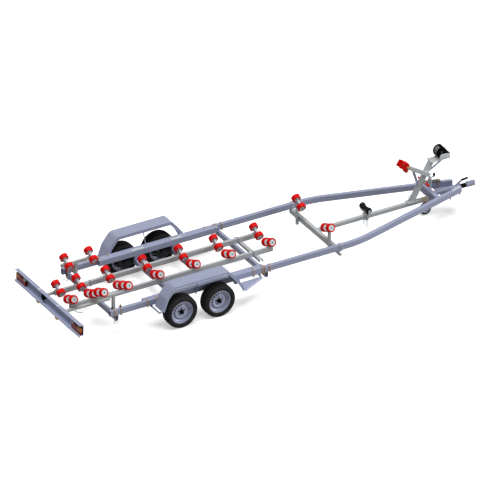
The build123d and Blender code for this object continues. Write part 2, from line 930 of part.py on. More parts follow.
arm_strut = flat_bar(
    (strut_foot_x, strut_y, arm_at(strut_foot_x)),
    (post_at(strut_head_z), strut_y, strut_head_z),
    strut_width,
    strut_thickness,
)
plate_brace = flat_bar(
    (post_at(brace_foot_z), strut_y, brace_foot_z),
    (brace_head_x, strut_y, winch_plate_bottom),
    brace_width,
    strut_thickness,
)
with BuildPart() as winch_post:
    add(leaning_post)
    add(arm_strut)
    add(plate_brace)
    split(bisect_by=Plane.XY.offset(centre_beam_top), keep=Keep.TOP)
    split(bisect_by=Plane.XY.offset(winch_plate_bottom), keep=Keep.BOTTOM)
    add(bow_arm)
    with BuildSketch(Plane.XY.offset(centre_beam_top)):
        with Locations((post_foot_x, 0)):
            RectangleRounded(foot_plate_length, foot_plate_width, rail_corner)
    extrude(amount=winch_plate_thickness)
    with BuildSketch(Plane.XY.offset(winch_plate_bottom)):
        with Locations((winch_plate_rear_x + winch_plate_length / 2, 0)):
            RectangleRounded(winch_plate_length, winch_plate_width, rail_corner)
    extrude(amount=winch_plate_thickness)
    # the hand bar on a lug ahead of the post
    with BuildSketch(Plane.XZ.offset(-hand_bar_lug_width / 2)):
        with Locations((post_at(hand_bar_z) + post_depth / 2, hand_bar_z), (hand_bar_x, hand_bar_z)):
            Circle(hand_bar_lug_radius)
        make_hull()
    extrude(amount=hand_bar_lug_width)
    with BuildSketch(Plane.XZ.offset(-hand_bar_length / 2)):
        with Locations((hand_bar_x, hand_bar_z)):
            Circle(hand_bar_radius)
    extrude(amount=hand_bar_length)

arm_run = Vector(arm_front_x - arm_rear_x, 0, arm_front_z - arm_rear_z).normalized()
block_end = Vector(arm_rear_x, block_y, arm_rear_z)
with BuildPart() as bow_block:
    # local X runs up and back from the arm's end, local Y across
    block_plane = Plane(origin=block_end, x_dir=-arm_run, z_dir=arm_run.cross(Vector(0, 1, 0)))
    with BuildSketch(block_plane.offset(block_rise - block_height / 2)):
        Polygon(
            (0, -block_width / 2),
            (block_length, -block_width / 2),
            (block_length, -block_notch_width / 2),
            (block_length - block_notch_depth, 0),
            (block_length, block_notch_width / 2),
            (block_length, block_width / 2),
            (0, block_width / 2),
            align=None,
        )
    extrude(amount=block_height)
    fillet(bow_block.edges().filter_by(Axis.Y), rail_corner)

with BuildPart() as winch:
    for cheek_start in (-cheek_half_gap, cheek_half_gap + cheek_thickness):
        with BuildSketch(Plane.XZ.offset(-cheek_start)):
            with Locations((winch_x, winch_z)):
                Circle(cheek_radius)
            with Locations((cheek_nose_x, cheek_nose_z)):
                Circle(cheek_nose_radius)
            make_hull()
        extrude(amount=cheek_thickness)
    with BuildSketch(Plane.XZ.offset(-cheek_half_gap)):
        with Locations((winch_x, winch_z)):
            Circle(drum_strap_radius)
    extrude(amount=2 * cheek_half_gap)
    with BuildSketch(Plane.XY.offset(winch_plate_top)):
        with Locations(((winch_base_rear_x + winch_base_front_x) / 2, 0)):
            Rectangle(winch_base_front_x - winch_base_rear_x, 2 * cheek_half_gap)
    extrude(amount=winch_base_height)

# ------------------------------------------------------------------- coupling
base_plate_front_x = rail_front_x
housing_middle_z = (rail_bottom + housing_top) / 2
housing_height = housing_top - rail_bottom
with BuildPart() as coupling_housing:
    with BuildSketch(Plane.XY.offset(rail_bottom - base_plate_thickness)):
        Polygon(
            (base_plate_rear_x, rail_y(base_plate_rear_x)),
            (base_plate_rear_x, -rail_y(base_plate_rear_x)),
            (base_plate_front_x, -rail_y(base_plate_front_x)),
            (base_plate_front_x, rail_y(base_plate_front_x)),
            align=None,
        )
    extrude(amount=base_plate_thickness)
    with BuildSketch(Plane.YZ.offset(housing_rear_x)):
        with Locations((0, housing_middle_z)):
            RectangleRounded(housing_width, housing_height, rail_corner)
            Rectangle(
                housing_width - 2 * plate_wall,
                housing_height - 2 * plate_wall,
                mode=Mode.SUBTRACT,
            )
    extrude(amount=housing_front_x - housing_rear_x)
    # the front plate that guides the drawbar
    with BuildSketch(Plane.YZ.offset(housing_front_x - guide_plate_thickness)):
        with Locations((0, draw_z)):
            Circle(bellows_radius)
    extrude(amount=guide_plate_thickness)
    # the handbrake's bracket, lever and grip
    with BuildSketch(Plane.XZ.offset(-brake_bracket_width / 2)):
        Polygon(*brake_bracket_side, align=None)
    extrude(amount=brake_bracket_width)
    lever_run = Vector(*brake_lever_end) - Vector(*brake_lever_start)
    with BuildSketch(Plane(origin=brake_lever_start, z_dir=lever_run)):
        Circle(brake_grip_radius)
    extrude(amount=lever_run.length)

draw_rear_x = housing_front_x
with BuildPart() as bellows:
    with BuildSketch(Plane(origin=(draw_rear_x, 0, draw_z), x_dir=(1, 0, 0), z_dir=(0, -1, 0))):
        rib_pitch = (bellows_front_x - draw_rear_x) / bellows_ribs
        rib_points = []
        for rib in range(bellows_ribs):
            rib_points.append((rib * rib_pitch, bellows_radius - bellows_rib_depth))
            rib_points.append(((rib + 0.5) * rib_pitch, bellows_radius))
        Polygon(
            (0, draw_radius),
            *rib_points,
            (bellows_front_x - draw_rear_x, bellows_radius - bellows_rib_depth),
            (bellows_front_x - draw_rear_x, draw_radius),
            align=None,
        )
    revolve(axis=Axis((draw_rear_x, 0, draw_z), (1, 0, 0)))

socket_x = head_front_x - socket_setback
with BuildPart() as coupling_head:
    with BuildSketch(Plane.YZ.offset(draw_rear_x)):
        with Locations((0, draw_z)):
            Circle(draw_radius)
    extrude(amount=bellows_front_x - draw_rear_x + draw_overlap)
    with BuildSketch(Plane.XY.offset(head_bottom)):
        with Locations((socket_x, 0)):
            Circle(socket_setback)
        with Locations(((bellows_front_x + socket_x) / 2, 0)):
            Rectangle(socket_x - bellows_front_x, head_width)
    extrude(amount=head_top - head_bottom)
    fillet(coupling_head.faces().sort_by(Axis.Z)[-1].edges(), head_edge)
    with BuildSketch(Plane.XY.offset(head_bottom)):
        with Locations((socket_x, 0)):
            Circle(socket_radius)
    extrude(amount=socket_depth, mode=Mode.SUBTRACT)
    # the locking handle lies on top
    with BuildSketch(Plane.XZ.offset(-head_width / 4)):
        Polygon(*head_handle_side, align=None)
    extrude(amount=head_width / 2)

# --------------------------------------------------------------- jockey wheel
crank_z = jockey_tube_top + jockey_cap_height
with BuildPart() as jockey_tube:
    with BuildSketch(Plane.XY.offset(jockey_tube_bottom)):
        with Locations((jockey_x, jockey_y)):
            Circle(jockey_tube_radius)
            Circle(jockey_tube_radius - jockey_tube_wall, mode=Mode.SUBTRACT)
    extrude(amount=jockey_tube_top - jockey_tube_bottom)
    with BuildSketch(Plane.XY.offset(jockey_tube_top)):
        with Locations((jockey_x, jockey_y)):
            Circle(jockey_tube_radius)
    extrude(amount=jockey_cap_height)
    # crank: boss, arm and upright knob
    with BuildSketch(Plane.XY.offset(crank_z)):
        with Locations((jockey_x, jockey_y)):
            Circle(crank_boss_radius)
    extrude(amount=crank_boss_height)
    with BuildSketch(Plane.XY.offset(crank_z + crank_thickness)):
        with Locations((jockey_x, jockey_y), (jockey_x + crank_reach, jockey_y)):
            Circle(crank_boss_radius)
        with Locations((jockey_x + crank_reach / 2, jockey_y)):
            Rectangle(crank_reach, 2 * crank_boss_radius)
    extrude(amount=crank_thickness)
    with BuildSketch(Plane.XY.offset(crank_z + 2 * crank_thickness)):
        with Locations((jockey_x + crank_reach, jockey_y)):
            Circle(crank_knob_radius)
    extrude(amount=crank_knob_height)
    # clamp block against the rail's inner face
    block_rear = jockey_x - clamp_block_half
    block_front = jockey_x + clamp_block_half
    with BuildSketch(Plane.XY.offset(rail_bottom + clamp_block_rise)):
        Polygon(
            (block_rear, jockey_y),
            (block_rear, rail_inner(block_rear)),
            (block_front, rail_inner(block_front)),
            (block_front, jockey_y),
            align=None,
        )
        with Locations((jockey_x, jockey_y)):
            Circle(jockey_tube_radius - jockey_tube_wall, mode=Mode.SUBTRACT)
    extrude(amount=rail_height - clamp_block_rise)
    # clamp plate on the rail's top
    clamp_plate_x = jockey_x + clamp_plate_ahead
    plate_plane = Plane(
        origin=(clamp_plate_x, rail_y(clamp_plate_x), rail_top),
        x_dir=(cos(rail_turn), -sin(rail_turn), 0),
        z_dir=(0, 0, 1),
    )
    with BuildSketch(plate_plane):
        Rectangle(clamp_plate_length, clamp_plate_width)
    extrude(amount=plate_wall)

leg_bottom = fork_top + swivel_gap
with BuildPart() as jockey_leg:
    with BuildSketch(Plane.XY.offset(leg_bottom)):
        with Locations((jockey_x, jockey_y)):
            Circle(jockey_leg_radius)
    extrude(amount=jockey_leg_top - leg_bottom)
    with BuildSketch(Plane.XY.offset(leg_bottom)):
        with Locations((jockey_x, jockey_y)):
            Circle(jockey_tube_radius)
    extrude(amount=leg_collar_height)
    with BuildSketch(Plane.XY.offset(leg_bottom)):
        with Locations((jockey_x, jockey_y)):
            Circle(king_pin_radius)
    extrude(amount=fork_top - leg_bottom - fork_sheet - king_pin_end)

jockey_wheel_x = jockey_x - jockey_trail
fork_half = jockey_wheel_width / 2 + fork_gap
with BuildPart() as jockey_fork:
    with BuildSketch(Plane.XY.offset(fork_top - fork_sheet)):
        with Locations((jockey_x, jockey_y)):
            Circle(jockey_tube_radius + plate_wall)
        with Locations(((jockey_x + jockey_wheel_x) / 2, jockey_y)):
            Rectangle(jockey_trail, 2 * (fork_half + fork_sheet))
        with Locations((jockey_x, jockey_y)):
            Circle(king_pin_radius + pin_clearance, mode=Mode.SUBTRACT)
    extrude(amount=fork_sheet)
    for cheek_start in (jockey_y - fork_half, jockey_y + fork_half + fork_sheet):
        with BuildSketch(Plane.XZ.offset(-cheek_start)):
            Polygon(
                (jockey_wheel_x, fork_top),
                (jockey_x + fork_front_reach, fork_top),
                (jockey_x, fork_top - fork_front_drop),
                (jockey_wheel_x + fork_eye_radius, jockey_wheel_radius),
                (jockey_wheel_x - fork_eye_radius, jockey_wheel_radius),
                align=None,
            )
            with Locations((jockey_wheel_x, jockey_wheel_radius)):
                Circle(fork_eye_radius)
        extrude(amount=fork_sheet)
    with BuildSketch(Plane.XZ.offset(-(jockey_y - fork_half))):
        with Locations((jockey_wheel_x, jockey_wheel_radius)):
            Circle(jockey_pin_radius)
    extrude(amount=-2 * fork_half)

with BuildPart() as jockey_wheel:
    half = jockey_wheel_width / 2
    with BuildSketch(
        Plane(
            origin=(jockey_wheel_x, jockey_y, jockey_wheel_radius), x_dir=(0, 1, 0), z_dir=(1, 0, 0)
        )
    ):
        Polygon(
            (-half, jockey_pin_radius + pin_clearance),
            (-half, jockey_hub_face),
            (jockey_disc_inset - half, jockey_hub_radius),
            (jockey_disc_inset - half, jockey_disc_radius),
            (-half, jockey_disc_radius + jockey_disc_inset),
            (-half, jockey_tyre_side),
            (jockey_tyre_step - half, jockey_wheel_radius),
            (half - jockey_tyre_step, jockey_wheel_radius),
            (half, jockey_tyre_side),
            (half, jockey_disc_radius + jockey_disc_inset),
            (half - jockey_disc_inset, jockey_disc_radius),
            (half - jockey_disc_inset, jockey_hub_radius),
            (half, jockey_hub_face),
            (half, jockey_pin_radius + pin_clearance),
            align=None,
        )
    revolve(axis=Axis((jockey_wheel_x, jockey_y, jockey_wheel_radius), (0, 1, 0)))

# ---------------------------------------------------------------- light board
web_x = board_rear_x + board_depth - board_sheet
slider_y = keel_beam_y + keel_beam_width / 2 + slider_side_gap + slider_width / 2
slider_z = rail_bottom + slider_seat_gap + slider_height / 2
sliders = [
    tube_between(
        (web_x + board_sheet / 2, side * slider_y, slider_z),
        (slider_front_x, side * slider_y, slider_z),
        slider_width,
        slider_height,
        slider_wall,
    )
    for side in (-1, 1)
]
with BuildPart() as light_bar:
    with BuildSketch(Plane.XZ.offset(-board_length / 2)):
        Polygon(
            (board_rear_x, board_top),
            (web_x + board_sheet, board_top),
            (web_x + board_sheet, board_shelf - board_sheet),
            (board_rear_x + board_sheet, board_shelf - board_sheet),
            (board_rear_x + board_sheet, board_bottom),
            (board_rear_x, board_bottom),
            (board_rear_x, board_shelf),
            (web_x, board_shelf),
            (web_x, board_top - board_sheet),
            (board_rear_x, board_top - board_sheet),
            align=None,
        )
    extrude(amount=board_length)
    add(sliders)

with BuildPart() as lamp_left:
    lamp_y = board_length / 2 - lamp_inset - lamp_length / 2
    with BuildSketch(Plane.YZ.offset(web_x - lamp_depth)):
        with Locations((lamp_y, board_shelf + lamp_inset + lamp_height / 2)):
            RectangleRounded(lamp_length, lamp_height, 2 * rail_corner)
    extrude(amount=lamp_depth)
    fillet(lamp_left.faces().sort_by(Axis.X)[0].edges(), rail_corner)

# ------------------------------------------------------------------- the nodes
pieces = {
    "rail_left": rail_left.part,
    "rail_right": mirrored(rail_left.part),
    "axle_beam_left": axle_beam_left,
    "axle_beam_right": mirrored(axle_beam_left),
    "rear_crossmember": rear_crossmember,
    "front_crossmember": front_crossmember,
    "carrier_channel": carrier_channel.part,
    "front_roller_frame": front_roller_frame.part,
    "nose_crossmember": nose_crossmember.part,
    "centre_beam": centre_beam.part,
    "keel_beam_left": keel_beam_left.part,
    "keel_beam_right": mirrored(keel_beam_left.part),
    "side_beam_left": side_beam_left.part,
    "side_beam_right": mirrored(side_beam_left.part),
    "axle_rear": axle_nodes["rear"],
    "axle_front": axle_nodes["front"],
    "mudguard_left": mudguard_left.part,
    "mudguard_right": mirrored(mudguard_left.part),
    "coupling_housing": coupling_housing.part,
    "bellows": bellows.part,
    "coupling_head": coupling_head.part,
    "winch_post": winch_post.part,
    "winch": winch.part,
    "bow_block": bow_block.part,
    "jockey_tube": jockey_tube.part,
    "jockey_leg": jockey_leg.part,
    "jockey_fork": jockey_fork.part,
    "jockey_wheel": jockey_wheel.part,
    "keel_roller": keel_roller.part,
    "light_bar": light_bar.part,
    "lamp_left": lamp_left.part,
    "lamp_right": mirrored(lamp_left.part),
}
for side_name, side in (("left", 1), ("right", -1)):
    for end_name, wheel_x in wheel_stations.items():
        pieces[f"tyre_{end_name}_{side_name}"] = tyre_at(wheel_x, side)
        pieces[f"rim_{end_name}_{side_name}"] = rim_at(wheel_x, side)
    for number, x in enumerate(keel_stations, start=1):
        pieces[f"keel_rollers_{side_name}_{number}"] = roller_pair(x, keel_beam_y, keel_beam_top, side)
    for number, x in enumerate(side_stations, start=1):
        pieces[f"side_rollers_{side_name}_{number}"] = roller_pair(x, side_beam_y, side_beam_top, side)
    pieces[f"front_rollers_{side_name}"] = roller_pair(post_x, front_post_y, front_post_top, side)

for label, piece in pieces.items():
    piece.label = label
    export_step(piece, f"parts/{label}.step")
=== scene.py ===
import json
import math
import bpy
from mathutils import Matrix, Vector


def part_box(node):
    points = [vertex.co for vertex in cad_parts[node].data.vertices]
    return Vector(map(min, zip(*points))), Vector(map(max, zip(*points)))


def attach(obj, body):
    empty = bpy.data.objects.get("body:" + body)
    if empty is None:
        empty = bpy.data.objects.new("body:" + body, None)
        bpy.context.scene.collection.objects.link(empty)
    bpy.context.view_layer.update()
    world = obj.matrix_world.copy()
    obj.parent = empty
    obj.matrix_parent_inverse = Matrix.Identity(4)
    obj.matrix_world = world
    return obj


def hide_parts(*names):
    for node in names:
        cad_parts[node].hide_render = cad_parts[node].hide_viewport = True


bl_info = {
    "name": "Boat Trailer Dressing",
    "version": (1, 0, 0),
    "blender": (4, 5, 0),
    "location": "3D View > Sidebar > Trailer",
    "description": "Dresses a boat trailer's frame with rollers, tyres, lamps, fasteners and finishes",
    "category": "Add Mesh",
}

import bmesh
import bpy
from bpy.props import FloatProperty, FloatVectorProperty, IntProperty, PointerProperty
from mathutils import Matrix, Vector

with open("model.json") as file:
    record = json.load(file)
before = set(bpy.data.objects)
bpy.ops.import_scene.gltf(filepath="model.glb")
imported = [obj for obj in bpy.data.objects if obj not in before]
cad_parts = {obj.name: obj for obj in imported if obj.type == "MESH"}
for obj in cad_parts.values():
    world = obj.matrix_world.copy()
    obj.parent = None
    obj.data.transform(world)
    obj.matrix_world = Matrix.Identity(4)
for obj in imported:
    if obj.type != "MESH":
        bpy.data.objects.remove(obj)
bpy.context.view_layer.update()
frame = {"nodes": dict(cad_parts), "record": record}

UP = Vector((0, 0, 1))
OUTWARD = {"left": 1, "right": -1}
# the wheels' places along the trailer, the zones painted black behind each disc (the brake drum's own
# black, with painted shade on the disc's back and the barrel behind the vents) and where the other
# finishes change
WHEEL_PLACES = (-1.986, -1.322)
DRUM_AND_PAINTED_SHADE_ZONES = ((0.118, -0.2, 0.0375), (0.1475, -0.03, 0.0295))
AXLE_TUBE_END = 0.7448
BOARD_BACK = -3.7300
# the winch post's foot, how far it leans for each metre up, and half its run along the trailer
POST_FOOT_X = 2.658
POST_FOOT_Z = 0.4
POST_LEAN = 0.5623
POST_HALF_RUN = 0.0464
# a rail's half width, its top, and how low the U-bolts over it reach
RAIL_HALF = 0.030
RAIL_TOP = 0.5003
UBOLT_FOOT = 0.385
UBOLT_PLATE = (0.024, 0.092, 0.005)
# how far the keel beams, the jockey and the board's sliders stand from the middle plane
KEEL_BEAM_Y = 0.239
JOCKEY_Y = 0.154
SLIDER_Y = 0.290
# the hand bar's place along and up
HAND_BAR = (2.874, 0.690)
# the mudguard's corners from the rear over the top to the front
GUARD_CORNERS = (
    (-2.343, 0.375), (-2.266, 0.578), (-2.126, 0.751), (-1.157, 0.751), (-1.034, 0.606),
    (-0.942, 0.477), (-0.872, 0.345),
)


# ------------------------------------------------------------------ properties
def length(name, description, default):
    """A length in metres that a user may change."""
    return FloatProperty(name=name, description=description, default=default, unit="LENGTH")


def colour(name, description, default):
    """A linear colour that a user may change."""
    return FloatVectorProperty(
        name=name, description=description, default=default, subtype="COLOR", size=3, min=0, max=1
    )


class TrailerSizes(bpy.types.PropertyGroup):
    roller_radius: length("Roller radius", "Outside radius of a red roller", 0.070)
    roller_width: length("Roller width", "Width of one red roller", 0.075)
    roller_spacing: length("Roller spacing", "Distance between a pair's two rollers", 0.180)
    roller_tilt: FloatProperty(
        name="Roller tilt",
        description="How far a pair's pin leans, outer end up",
        default=math.radians(25),
        subtype="ANGLE",
    )
    tyre_radius: length("Tyre radius", "Outside radius of a road tyre", 0.270)
    tyre_width: length("Tyre width", "Width over the sidewalls", 0.198)
    tread_pitches: IntProperty(name="Tread pitches", description="Cross cuts round a tyre", default=40)
    wheel_y: length("Wheel offset", "From the middle plane to a tyre's middle", 0.922)
    disc_offset: length("Disc offset", "From a tyre's middle out to the wheel disc's face", 0.044)
    bolt_circle: length("Wheel bolt circle", "Radius of the wheel bolt circle", 0.056)
    ubolt_rod: length("U-bolt rod", "Radius of a U-bolt's rod", 0.0055)


class TrailerColours(bpy.types.PropertyGroup):
    folded_zinc: colour("Folded zinc", "Rails and folded sheet", (0.345, 0.372, 0.510))
    tube_zinc: colour("Tube zinc", "Drawn tube with a neutral skin", (0.50, 0.525, 0.535))
    wheel_silver: colour("Wheel silver", "Paint on the wheels", (0.42, 0.445, 0.60))
    roller_red: colour("Roller red", "Cast rollers and the bow stop", (0.70, 0.0, 0.0))
    hub_grey: colour("Hub grey", "Moulded roller hubs", (0.66, 0.74, 0.76))
    yellow_zinc: colour("Yellow zinc", "Passivated fasteners", (0.60, 0.36, 0.09))
    tyre_black: colour("Tyre black", "Road tyres", (0.021, 0.021, 0.0215))
    trim_black: colour("Trim black", "Moulded covers and grips", (0.006, 0.006, 0.007))
    lens_red: colour("Lens red", "Rear lamps", (0.27, 0.001, 0.001))
    lens_amber: colour("Lens amber", "Turn lamps", (0.62, 0.19, 0.010))
    floor_white: colour("Floor", "Studio floor", (0.93, 0.93, 0.93))


# ------------------------------------------------------------------ shader tools
class Flow:
    """A shader socket that takes part in arithmetic."""

    def __init__(self, tree, socket):
        self.tree = tree
        self.socket = socket

    def maths(self, operation, *values):
        node = self.tree.nodes.new("ShaderNodeMath")
        node.operation = operation
        for place, value in zip(node.inputs, values):
            connect(self.tree, place, value)
        return Flow(self.tree, node.outputs[0])

    def __gt__(self, other):
        return self.maths("GREATER_THAN", self, other)

    def __lt__(self, other):
        return self.maths("LESS_THAN", self, other)


for sign, kind in (("add", "ADD"), ("sub", "SUBTRACT"), ("mul", "MULTIPLY")):
    setattr(Flow, f"__{sign}__", lambda one, other, kind=kind: one.maths(kind, one, other))
    setattr(Flow, f"__r{sign}__", lambda one, other, kind=kind: one.maths(kind, other, one))


def connect(tree, place, value):
    """Puts a value or a link on a socket."""
    if isinstance(value, Flow):
        tree.links.new(value.socket, place)
    else:
        place.default_value = value


class Finish:
    """One material: a Principled shader and the nodes that vary it."""

    def __init__(self, name, **constants):
        self.material = bpy.data.materials.new(name)
        self.material.use_nodes = True
        self.tree = self.material.node_tree
        self.tree.nodes.clear()
        self.body = self.tree.nodes.new("ShaderNodeBsdfPrincipled")
        self.end = self.tree.nodes.new("ShaderNodeOutputMaterial")
        self.tree.links.new(self.body.outputs[0], self.end.inputs[0])
        for socket, value in constants.items():
            self.body.inputs[socket.replace("_", " ")].default_value = value
        self.place = self.node("ShaderNodeTexCoord", {}, {}, "Object")

    def node(self, kind, settings, values, output=0):
        """Adds a node with its settings, then its sockets' values or links."""
        node = self.tree.nodes.new(kind)
        for setting, value in settings.items():
            setattr(node, setting, value)
        for socket, value in values.items():
            connect(self.tree, node.inputs[socket], value)
        return Flow(self.tree, node.outputs[output])

    def noise(self, scale, detail=3, where=None):
        return self.node(
            "ShaderNodeTexNoise", {}, {"Vector": where or self.place, "Scale": scale, "Detail": detail}
        )

    def cells(self, scale, where=None):
        """A random number for each cell of a crystal pattern."""
        values = {"Vector": where or self.place, "Scale": scale}
        tone = self.node("ShaderNodeTexVoronoi", {}, values, "Color")
        return self.node("ShaderNodeSeparateColor", {}, {"Color": tone}, "Red")

    def stretched(self, x, y, z):
        return self.node("ShaderNodeMapping", {}, {"Vector": self.place, "Scale": (x, y, z)})

    def axis(self, name):
        """One coordinate of the place."""
        return self.node("ShaderNodeSeparateXYZ", {}, {"Vector": self.place}, name)

    def between(self, factor, first, second):
        """Mixes two colours by a factor."""
        node = self.tree.nodes.new("ShaderNodeMix")
        node.data_type = "RGBA"
        for socket, value in (("Factor_Float", factor), ("A_Color", first), ("B_Color", second)):
            place = next(s for s in node.inputs if s.identifier == socket)
            if not isinstance(value, Flow) and socket != "Factor_Float":
                value = (*value[:3], 1)
            connect(self.tree, place, value)
        return Flow(self.tree, next(s for s in node.outputs if s.identifier == "Result_Color"))

    def paint(self, dark, light, factor):
        self.drive("Base Color", self.between(factor, dark, light))

    def drive(self, socket, flow):
        connect(self.tree, self.body.inputs[socket], flow)

    def relief(self, height, distance, strength=1.0):
        values = {"Height": height, "Distance": distance, "Strength": strength}
        self.drive("Normal", self.node("ShaderNodeBump", {}, values, "Normal"))


def shade(base, factor):
    """A colour made darker or lighter."""
    return tuple(min(1.0, channel * factor) for channel in base)


def make_zinc(name, base, crystal, metal, rough, *zones):
    """Hot-dip zinc with spangle, faint runs and orange peel; zones may have other colours."""
    finish = Finish(name, Metallic=metal, Specular_IOR_Level=0.3)
    spangle = finish.cells(crystal)
    runs = finish.noise(9, 4, finish.stretched(0.35, 1, 2.2))
    tone = spangle * 0.35 + runs * 0.65
    dark, light = shade(base, 0.90), shade(base, 1.10)
    for zone, other in zones:
        where = zone(finish)
        dark = finish.between(where, dark, shade(other, 0.90))
        light = finish.between(where, light, shade(other, 1.10))
    finish.paint(dark, light, tone)
    finish.drive("Roughness", rough + spangle * 0.16 - runs * 0.1)
    finish.relief(finish.noise(240, 2) + spangle * 0.3, 0.0004, 0.35)
    return finish.material


def make_gold(base):
    """Yellow passivated zinc, whose tint drifts from straw to bronze."""
    finish = Finish("yellow_zinc", Metallic=0.45)
    drift = finish.noise(60, 3)
    finish.paint(shade(base, 0.75), shade(base, 1.3), drift)
    finish.drive("Roughness", 0.3 + drift * 0.2)
    finish.relief(finish.noise(900, 2), 0.0002, 0.4)
    return finish.material


def make_cast(name, base, rough, light=1.12, specular=0.15):
    """Cast polyurethane or moulded plastic with a fine skin."""
    finish = Finish(name, Specular_IOR_Level=specular)
    cloud = finish.noise(14, 4)
    finish.paint(shade(base, 0.88), shade(base, light), cloud)
    finish.drive("Roughness", rough + finish.noise(130, 2) * 0.14)
    finish.relief(finish.noise(700, 2), 0.0003, 0.4)
    return finish.material


def make_rubber(name, base, rough):
    """Black rubber with a little bloom and a matt grain."""
    finish = Finish(name, Specular_IOR_Level=0.08)
    bloom = finish.noise(11, 5)
    finish.paint(base, shade(base, 1.7), bloom * bloom * 1.4)
    finish.drive("Roughness", rough + bloom * 0.15)
    finish.relief(finish.noise(420, 3), 0.0006, 0.5)
    return finish.material


def make_lens(name, base):
    """A moulded lamp lens with fine prisms behind a glossy face."""
    finish = Finish(name, Coat_Weight=0.1, Coat_Roughness=0.08, Specular_IOR_Level=0.15)
    values = {"Vector": finish.place, "Scale": 55.0}
    prisms, rows = (
        finish.node("ShaderNodeTexWave", {"bands_direction": way}, values) for way in "YZ"
    )
    grid = prisms * rows
    finish.paint(shade(base, 0.7), shade(base, 1.6), grid)
    finish.drive("Roughness", 0.16 + grid * 0.2)
    finish.relief(grid, 0.0015, 0.5)
    return finish.material


def make_paint(name, base, sizes):
    """Silver wheel paint with metal flake, and black behind each disc: the brake drum's own black, with
    painted shade on the disc's back and the barrel behind the vents.
    """
    finish = Finish(name, Coat_Roughness=0.2)
    flake = finish.cells(900)
    film = finish.noise(20, 4)
    x, y, z = (finish.axis(name) for name in "XYZ")
    up = z - sizes.tyre_radius
    out = y.maths("ABSOLUTE", y) - sizes.wheel_y
    # drum: black for the brake drum, and painted shade on the disc's back and the barrel behind the
    # vents
    drum = 0.0
    for stand in WHEEL_PLACES:
        along = x - stand
        apart = along * along + up * up
        for radius, near, far in DRUM_AND_PAINTED_SHADE_ZONES:
            drum = drum + (apart < radius**2) * (out > near) * (out < far)
    drum = drum.maths("MINIMUM", drum, 1.0)
    silver = finish.between(flake * 0.4 + film * 0.6, shade(base, 0.88), shade(base, 1.12))
    finish.paint(silver, (0.006, 0.006, 0.006), drum)
    finish.drive("Metallic", 0.2 - drum * 0.2)
    finish.drive("Coat Weight", 0.25 - drum * 0.25)
    finish.drive("Roughness", 0.34 + film * 0.15 + drum * 0.3)
    finish.relief(finish.noise(300, 2), 0.0003, 0.3)
    return finish.material


finishes = {}


def axle_ends(finish):
    """The trailing arms, backplates and hubs outside the axle tube."""
    y = finish.axis("Y")
    return y.maths("ABSOLUTE", y) > AXLE_TUBE_END


def flat_struts(finish):
    """The flat bars that run from the leaning winch post, behind it and ahead of it."""
    x, y, z = (finish.axis(name) for name in "XYZ")
    from_post = x - POST_FOOT_X - (z - POST_FOOT_Z) * POST_LEAN
    beside = (from_post * from_post) > POST_HALF_RUN**2
    return beside * (y < -0.0235) * (y > -0.0301) * (z > 0.45) * (z < 1.0255)


def board_web(finish):
    """The folded board behind its sliders."""
    return finish.axis("X") < BOARD_BACK


def board_shelf_painted_light(finish):
    """The top of the board's lower fold, painted lighter as painted light against the shadow that the
    top flange casts on it.
    """
    return (finish.axis("X") < BOARD_BACK) * (finish.axis("Z") < 0.3865)


def make_finishes(tones, sizes):
    """Makes every material once."""
    folded, tube = tones.folded_zinc, tones.tube_zinc
    zincs = (
        ("folded", "folded_zinc", folded, 80, 0.12, 0.42),
        ("tube", "tube_zinc", tube, 130, 0.12, 0.44),
        ("axle", "axle_zinc", folded, 80, 0.12, 0.42, (axle_ends, (0.008, 0.008, 0.009))),
        ("post", "post_zinc", tube, 130, 0.12, 0.44, (flat_struts, folded)),
        (
            "board", "board_zinc", tube, 80, 0.12, 0.42,
            # the lower fold's top is painted light: lighter zinc over the top flange's shadow
            (board_web, folded), (board_shelf_painted_light, shade(folded, 1.8)),
        ),
        # zinc lightened for the guard's rods: a painted highlight along the rolled edges and the top
        # fold
        ("bead", "bead_zinc", shade(folded, 1.6), 130, 0.12, 0.42),
        ("steel", "plate_steel", (0.11, 0.113, 0.118), 300, 0.2, 0.45),
        ("dark", "fastener_steel", (0.03, 0.03, 0.033), 300, 0.2, 0.45),
        ("bright", "bright_zinc", (0.62, 0.65, 0.68), 200, 0.25, 0.35),
    )
    for finish, *recipe in zincs:
        finishes[finish] = make_zinc(*recipe)
    finishes["red"] = make_cast("roller_red", tones.roller_red, 0.44)
    finishes["hub"] = make_cast("hub_grey", tones.hub_grey, 0.45)
    finishes["black"] = make_cast("trim_black", shade(tones.trim_black, 0.5), 0.6, 1.3, 0.02)
    finishes["strap"] = make_cast("strap_grey", (0.20, 0.20, 0.20), 0.6)
    finishes["gold"] = make_gold(tones.yellow_zinc)
    finishes["tyre"] = make_rubber("tyre_rubber", tones.tyre_black, 0.70)
    finishes["rubber"] = make_rubber("soft_rubber", (0.010, 0.010, 0.011), 0.6)
    finishes["wheel"] = make_paint("wheel_paint", tones.wheel_silver, sizes)
    finishes["lens"] = make_lens("lens_red", tones.lens_red)
    finishes["amber"] = make_lens("lens_amber", tones.lens_amber)
    finishes["clear"] = make_lens("lens_clear", (0.80, 0.80, 0.78))


# ------------------------------------------------------------------ mesh tools
def aimed(origin, axis, across=None):
    """A placement whose local Z points along an axis."""
    z = Vector(axis).normalized()
    guide = Vector(across) if across is not None else (UP if abs(z.z) < 0.9 else Vector((1, 0, 0)))
    x = (guide - z * guide.dot(z)).normalized()
    y = z.cross(x)
    turn = Matrix((x, y, z)).transposed().to_4x4()
    return Matrix.Translation(Vector(origin)) @ turn


